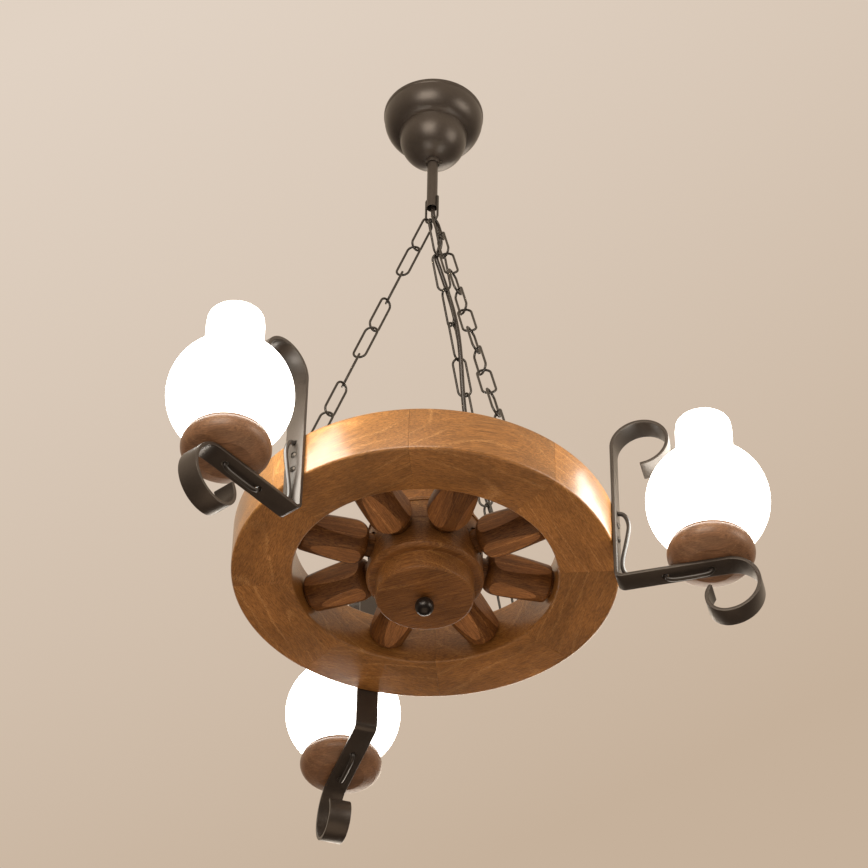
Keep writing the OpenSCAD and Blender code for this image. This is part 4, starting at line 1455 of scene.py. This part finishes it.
@dataclass
class LampArm:
    """One bracket with its flex, wooden cup, glass, holder and bulb. Sizes in millimetres."""

    shop: Workshop
    lamp: Lamp
    rim: float = 210.0
    bottom: float = -750.0
    reach: float = 313.0
    bar: Point2 = (25.0, 4.0)
    arm_top: float = -47.0
    upper_scroll: float = 31.0
    lower_scroll: float = 34.5
    flex: float = 5.0
    cup_height: float = 27.0
    globe: float = 66.7
    globe_up: float = 90.0
    glass: float = 3.0
    chimney: float = 31.0

    @property
    def foot(self) -> Vector:
        """Where the lamp's axis meets the top of the arm."""
        return polar(self.reach, self.lamp.turn, self.bottom + self.arm_top)

    def at(self, rho: float, height: float, side: float = 0.0) -> Vector:
        """A point in the bracket's upright plane, or beside it.

        Args:
            rho: Distance from the wheel's axis.
            height: Height above the underside of the rim.
            side: Distance from the plane.

        Returns:
            The point in millimetres.
        """
        a = self.lamp.turn
        return polar(rho, a, self.bottom + height) + side * Vector((-math.sin(a), math.cos(a), 0))

    def bar_path(self) -> list[Point2]:
        """Centre line of the flat bar, from the tip of the upper scroll to that of the lower one.

        Returns:
            (distance from the wheel's axis, height above the underside of the rim) points.
        """
        leg, upper, lower = self.rim + 2.2, self.upper_scroll, self.lower_scroll
        path = arc(leg + upper, 134, upper, -90, 180, 56)
        path += [(leg, h) for h in (100.0, 60.0, 20.0, -20.0)]
        path += arc(leg + 6, -43, 6, 180, 270, 10)
        path += [(rho, -49.0) for rho in (240.0, 270.0, 300.0)]
        path += arc(329, -49 - lower, lower, 90, -90, 44)
        return path + arc(329, -96, 22, -90, -220, 30)[1:]

    def bracket(self) -> bpy.types.Mesh:
        """The bent flat bar with eased edges and its wire holes.

        Returns:
            Its mesh.
        """
        half_w, half_t, ease = self.bar[0] / 2, self.bar[1] / 2, 0.55
        section = rounded([
            (0, -half_t, 0), (half_w, -half_t, ease), (half_w, half_t, ease), (-half_w, half_t, ease),
            (-half_w, -half_t, ease), (0, -half_t, 0),
        ], 3)[:-1]
        path = self.bar_path()
        last = len(path) - 1
        sections: list[list[Vector]] = []
        for i, (rho, height) in enumerate(path):
            a, b = Vector(path[max(i - 1, 0)]), Vector(path[min(i + 1, last)])
            heading = (b - a).normalized()
            thick = 0.86 if i in (0, last) else 1.0
            wide = 1 - (1 - thick) * 0.15
            sections.append([
                self.at(rho + heading.y * n * thick, height - heading.x * n * thick, t * wide)
                for t, n in section
            ])
        holes = [tube("leg_hole", [self.at(rho, 47) for rho in (205, 207, 217, 219)], 3.5, 28)]
        for rho, radius in ((263, 4.0), (self.reach, 4.1)):
            holes.append(tube("arm_hole", [self.at(rho, h) for h in (-60, -58, -41, -39)], radius, 28))
        return cut(sweep("bracket", sections), holes)

    def wire(self) -> bpy.types.Mesh:
        """The flex from the rim to the lamp. It lies on the arm and goes down through it and up again.

        Returns:
            Its mesh.
        """
        route = [
            (-16, 47), (3, 47), (12, 42), (16, 27), (13, 6), (8.2, -18), (8.2, -32), (13.5, -41.6),
            (26, -44.2), (43, -44.2), (50.4, -44.4), (53, -49), (55.6, -54.2), (63, -56.6), (77, -57),
            (92, -56.6), (99.4, -55.6), (102.6, -53), (103, -49.6), (103, -34),
        ]
        return tube("flex", soften([self.at(self.rim + x, h) for x, h in route]), self.flex / 2, 14)

    def cup(self) -> bpy.types.Mesh:
        """The turned wooden cup under the glass.

        Returns:
            Its mesh.
        """
        top, floor = self.cup_height, 15
        outline = [(0.0, 0.0)] + rounded([(20, 0, 0), (27, 0, 5), (40.17, 4.42, 0)], 4)
        outline += arc(32, 17, 15, -57, 17, 18)[1:]
        outline += rounded([
            (46.2, 21.6, 0), (46.0, 22, 0.2), (44.5, 22, 0.3), (44.5, top, 1.4), (39.5, top, 1.0),
            (39.5, floor, 0.5), (20, floor, 0),
        ], 4)
        mesh = lathe("cup", outline + [(0.0, floor)], 128, self.foot)
        set_grain(mesh, self.foot + Vector((0, 20, 62)), -14.0, 4.0)
        return mesh

    def shade(self) -> bpy.types.Mesh:
        """The blown glass: a globe with a chimney above and a collar below.

        Returns:
            Its mesh.
        """
        globe, wall, chimney = self.globe, self.glass, self.chimney
        neck, mouth = (chimney + 14, 66.98), (26.5, 101.5)
        outline = [(35.6, -74.7), (37.6, -74.7), (38.0, -74.2)] + arc(0, 0, globe, -55.2, 56.1, 60)
        outline += arc(*neck, 14, 236.1, 180, 12) + [(chimney, 80)] + arc(*mouth, 4.5, 0, 45, 6)
        outline += arc(28.3, 108.6, 1.9, -10, 190, 12)
        outline += arc(*mouth, 4.5 - wall, 45, 0, 6) + [(chimney - wall, 80)]
        outline += arc(*neck, 14 + wall, 180, 236.1, 12) + arc(0, 0, globe - wall, 56.1, -56.6, 60)
        return lathe("shade", outline + [(35.0, -74.2)], 144, self.foot + Vector((0, 0, self.globe_up)))

    def build(self) -> None:
        """Makes and dresses every piece of this lamp."""
        shop, label = self.shop, self.lamp.label
        pieces = [
            ("scrolled_bar", self.bracket(), BRONZE_COAT, "bronze_paint", "wheel", "bracket"),
            ("flex", self.wire(), DARK_SHEATH, "cable_sheath", "wheel", "lamp_wire"),
            ("turned_cup", self.cup(), CUP_WOOD, "dark_wood", "wheel", "cup"),
            ("opal_shade", self.shade(), OPAL, "opal_glass", f"glass_{label}", "shade"),
        ]
        for name, mesh, finish, slot, body, node in pieces:
            shop.piece(f"{name}_{label}", mesh, finish, slot, body, [f"{node}_{label}"])
        shop.dress(f"holder_{label}", CERAMIC)
        shop.dress(f"bulb_{label}", BULB_GLASS)


@dataclass
class LampHardware:
    """Screws, threaded tubes and nuts of all three lamps. Sizes in millimetres."""

    shop: Workshop
    copies: CopyRecipe
    leg_face: float = 214.2
    bottom: float = -750.0
    heights: tuple[float, ...] = (10.0, 30.0)

    def screw(self) -> bpy.types.Mesh:
        """A pan head screw, pointing down, with a cross recess in its head.

        Returns:
            Its mesh.
        """
        dome = arc(0, -2.4, 4.8, 32, 88, 8)
        outline = [(0.0, -25.0), (1.0, -25.0), (1.9, -23.0), (1.9, 0.3), (3.8, 0.3), (3.8, 0.6)]
        outline += [(min(x, 3.8), z) for x, z in dome if z > 0.6] + [(0.0, 2.4)]
        head = lathe("screw", outline, 36)
        bars = []
        for across in (Vector((1, 0, 0)), Vector((0, 1, 0))):
            other = Vector((across.y, across.x, 0))
            corners = [
                across * (2.1 * i) + other * (0.42 * j) + Vector((0, 0, k))
                for i in (-1, 1) for j in (-1, 1) for k in (1.1, 3.4)
            ]
            sides = [(0, 1, 3, 2), (4, 6, 7, 5), (0, 4, 5, 1), (2, 3, 7, 6), (0, 2, 6, 4), (1, 5, 7, 3)]
            bars.append(mesh_from("recess", corners, sides))
        return cut(head, bars)

    def build(self) -> None:
        """Places the screws and dresses the small steel parts."""
        spots = [
            (polar(self.leg_face + 0.1, lamp.turn, self.bottom + h), Vector((0, math.pi / 2, lamp.turn)))
            for lamp in Lamp for h in self.heights
        ]
        screws = self.copies.place(self.screw(), spots, self.shop.material(BLACK_STEEL))
        self.shop.piece("pan_head_screws", screws, BLACK_STEEL, "screw_steel", "wheel", ["bracket_screws"])
        for node in ("cup_nipples", "cup_nuts"):
            self.shop.dress(node, ZINC)


# ---------------------------------------------------------------- studio


@dataclass
class Studio:
    """Floor, soft light, pale background and the camera at the photograph's place. Sizes in metres."""

    floor_height: float = -3.3
    focal_pixels: float = 3044.753
    frame_pixels: float = 868.0
    camera_place: tuple[float, float, float] = (-0.007035, -2.529786, -2.859723)
    pitch: float = 0.7426
    roll: float = 0.0168
    yaw: float = 0.0056

    def floor(self) -> None:
        """A plain pale floor."""
        mesh = bpy.data.meshes.new("floor")
        size = 1.5
        corners = [(-size, -size), (size, -size), (size, size), (-size, size)]
        mesh.from_pydata([(x, y, self.floor_height) for x, y in corners], [], [(0, 1, 2, 3)])
        mesh.materials.append(self.backdrop())
        floor = bpy.data.objects.new("floor", mesh)
        bpy.context.scene.collection.objects.link(floor)

    def backdrop(self) -> bpy.types.Material:
        """Matt paint for the floor.

        Returns:
            The material.
        """
        material = bpy.data.materials.new("matt_floor_paint")
        material.use_nodes = True
        shader = material.node_tree.nodes["Principled BSDF"]
        shader.inputs["Base Color"].default_value = linear("#DCCFBF")
        shader.inputs["Roughness"].default_value = 0.9
        return material

    def world(self) -> None:
        """Pale beige for the camera, a room for reflections, and plain soft light for everything else."""
        world = bpy.data.worlds.new("pale_room")
        bpy.context.scene.world = world
        world.use_nodes = True
        tree = world.node_tree
        tree.nodes.clear()
        way = add_node(tree, "ShaderNodeTexCoord").outputs["Generated"]
        parts = add_node(tree, "ShaderNodeSeparateXYZ", inputs={0: way})
        # what the camera sees darkens from the upper left to the lower right of the picture
        slope = add_node(tree, "ShaderNodeMath", {"operation": "MULTIPLY_ADD"}, {
            0: parts.outputs["X"], 1: -0.35, 2: parts.outputs["Z"],
        })
        seen = self.gradient(tree, slope.outputs[0], (0.56, 0.80), ("#C6B19B", "#E1D2C3"))
        # reflections see a bright upper half of the room and a dim lower half
        room = self.gradient(tree, parts.outputs["Z"], (-0.30, 0.45), ("#120C08", "#D8C4AC"))
        light = add_node(tree, "ShaderNodeBackground", inputs={"Color": linear("#FFE9D6"), "Strength": 0.68})
        rays = add_node(tree, "ShaderNodeLightPath").outputs
        direct = add_node(tree, "ShaderNodeMath", {"operation": "MAXIMUM"}, {
            0: rays["Is Camera Ray"], 1: rays["Is Transmission Ray"],
        })
        soft = add_node(tree, "ShaderNodeMixShader", None, {
            0: rays["Is Glossy Ray"], 1: light.outputs[0], 2: room,
        })
        mix = add_node(tree, "ShaderNodeMixShader", None, {0: direct.outputs[0], 1: soft.outputs[0], 2: seen})
        out = tree.nodes.new("ShaderNodeOutputWorld")
        tree.links.new(mix.outputs[0], out.inputs["Surface"])

    def gradient(self, tree: Tree, value: Socket, limits: Point2, colours: tuple[str, str]) -> Socket:
        """A background that goes from one colour to another.

        Args:
            tree: The world's tree.
            value: What it goes by.
            limits: The values at which it starts and ends.
            colours: The colours there, as hex codes.

        Returns:
            The background's socket.
        """
        place = add_node(tree, "ShaderNodeMapRange", None, {
            "Value": value, "From Min": limits[0], "From Max": limits[1],
        })
        stops = [(float(i), linear(code)) for i, code in enumerate(colours)]
        shade = add_node(tree, "ShaderNodeValToRGB", None, {"Fac": place.outputs[0]}, stops)
        glow = add_node(tree, "ShaderNodeBackground", None, {"Color": shade.outputs[0], "Strength": 1.0})
        return glow.outputs[0]

    def softbox(self, name: str, place: Vector, size: float, power: float) -> None:
        """A square soft light aimed at the wheel.

        Args:
            name: Name of the light.
            place: Where it stands.
            size: Length of its sides.
            power: Power in watts.
        """
        data = bpy.data.lights.new(name, "AREA")
        data.shape = "SQUARE"
        data.size = size
        data.energy = power
        data.color = linear("#FFF1E0")[:3]
        lamp = bpy.data.objects.new(name, data)
        lamp.location = place
        lamp.rotation_mode = "QUATERNION"
        lamp.rotation_quaternion = (Vector((0, 0, -0.72)) - place).to_track_quat("-Z", "Y")
        bpy.context.scene.collection.objects.link(lamp)

    def camera(self) -> None:
        """The camera, where it stood for the photograph."""
        cp, sp = math.cos(self.pitch), math.sin(self.pitch)
        cy, sy = math.cos(self.yaw), math.sin(self.yaw)
        ahead = Vector((sy * cp, cy * cp, sp))
        right = Vector((cy, -sy, 0))
        up = right.cross(ahead)
        cr, sr = math.cos(self.roll), math.sin(self.roll)
        x_axis = cr * right + sr * up
        y_axis = cr * up - sr * right
        data = bpy.data.cameras.new("camera")
        data.sensor_width = 36.0
        data.lens = self.focal_pixels / self.frame_pixels * data.sensor_width
        data.clip_end = 100.0
        camera = bpy.data.objects.new("camera", data)
        turn = Matrix((x_axis, y_axis, -ahead)).transposed()
        camera.matrix_world = Matrix.Translation(self.camera_place) @ turn.to_4x4()
        bpy.context.scene.collection.objects.link(camera)
        bpy.context.scene.camera = camera

    def build(self) -> None:
        """Sets up the camera, the lights and the floor."""
        bpy.context.scene.view_settings.view_transform = "Standard"
        self.camera()
        self.world()
        self.floor()
        self.softbox("soft_front", Vector((-0.7, -2.8, -0.35)), 1.8, 64.0)
        self.softbox("soft_side", Vector((2.6, -1.2, -0.5)), 1.4, 30.0)
        self.softbox("soft_back", Vector((0.4, 2.4, -0.2)), 1.6, 26.0)


def main() -> None:
    """Builds the studio and the lamp."""
    logging.basicConfig(level=logging.INFO, format="%(name)s: %(message)s")
    Studio().build()
    shop = Workshop()
    copies = CopyRecipe()
    Wheel(shop, copies).build()
    Hanging(shop, copies).build()
    for lamp in Lamp:
        LampArm(shop, lamp).build()
    LampHardware(shop, copies).build()


if __name__ == "__main__":
    main()
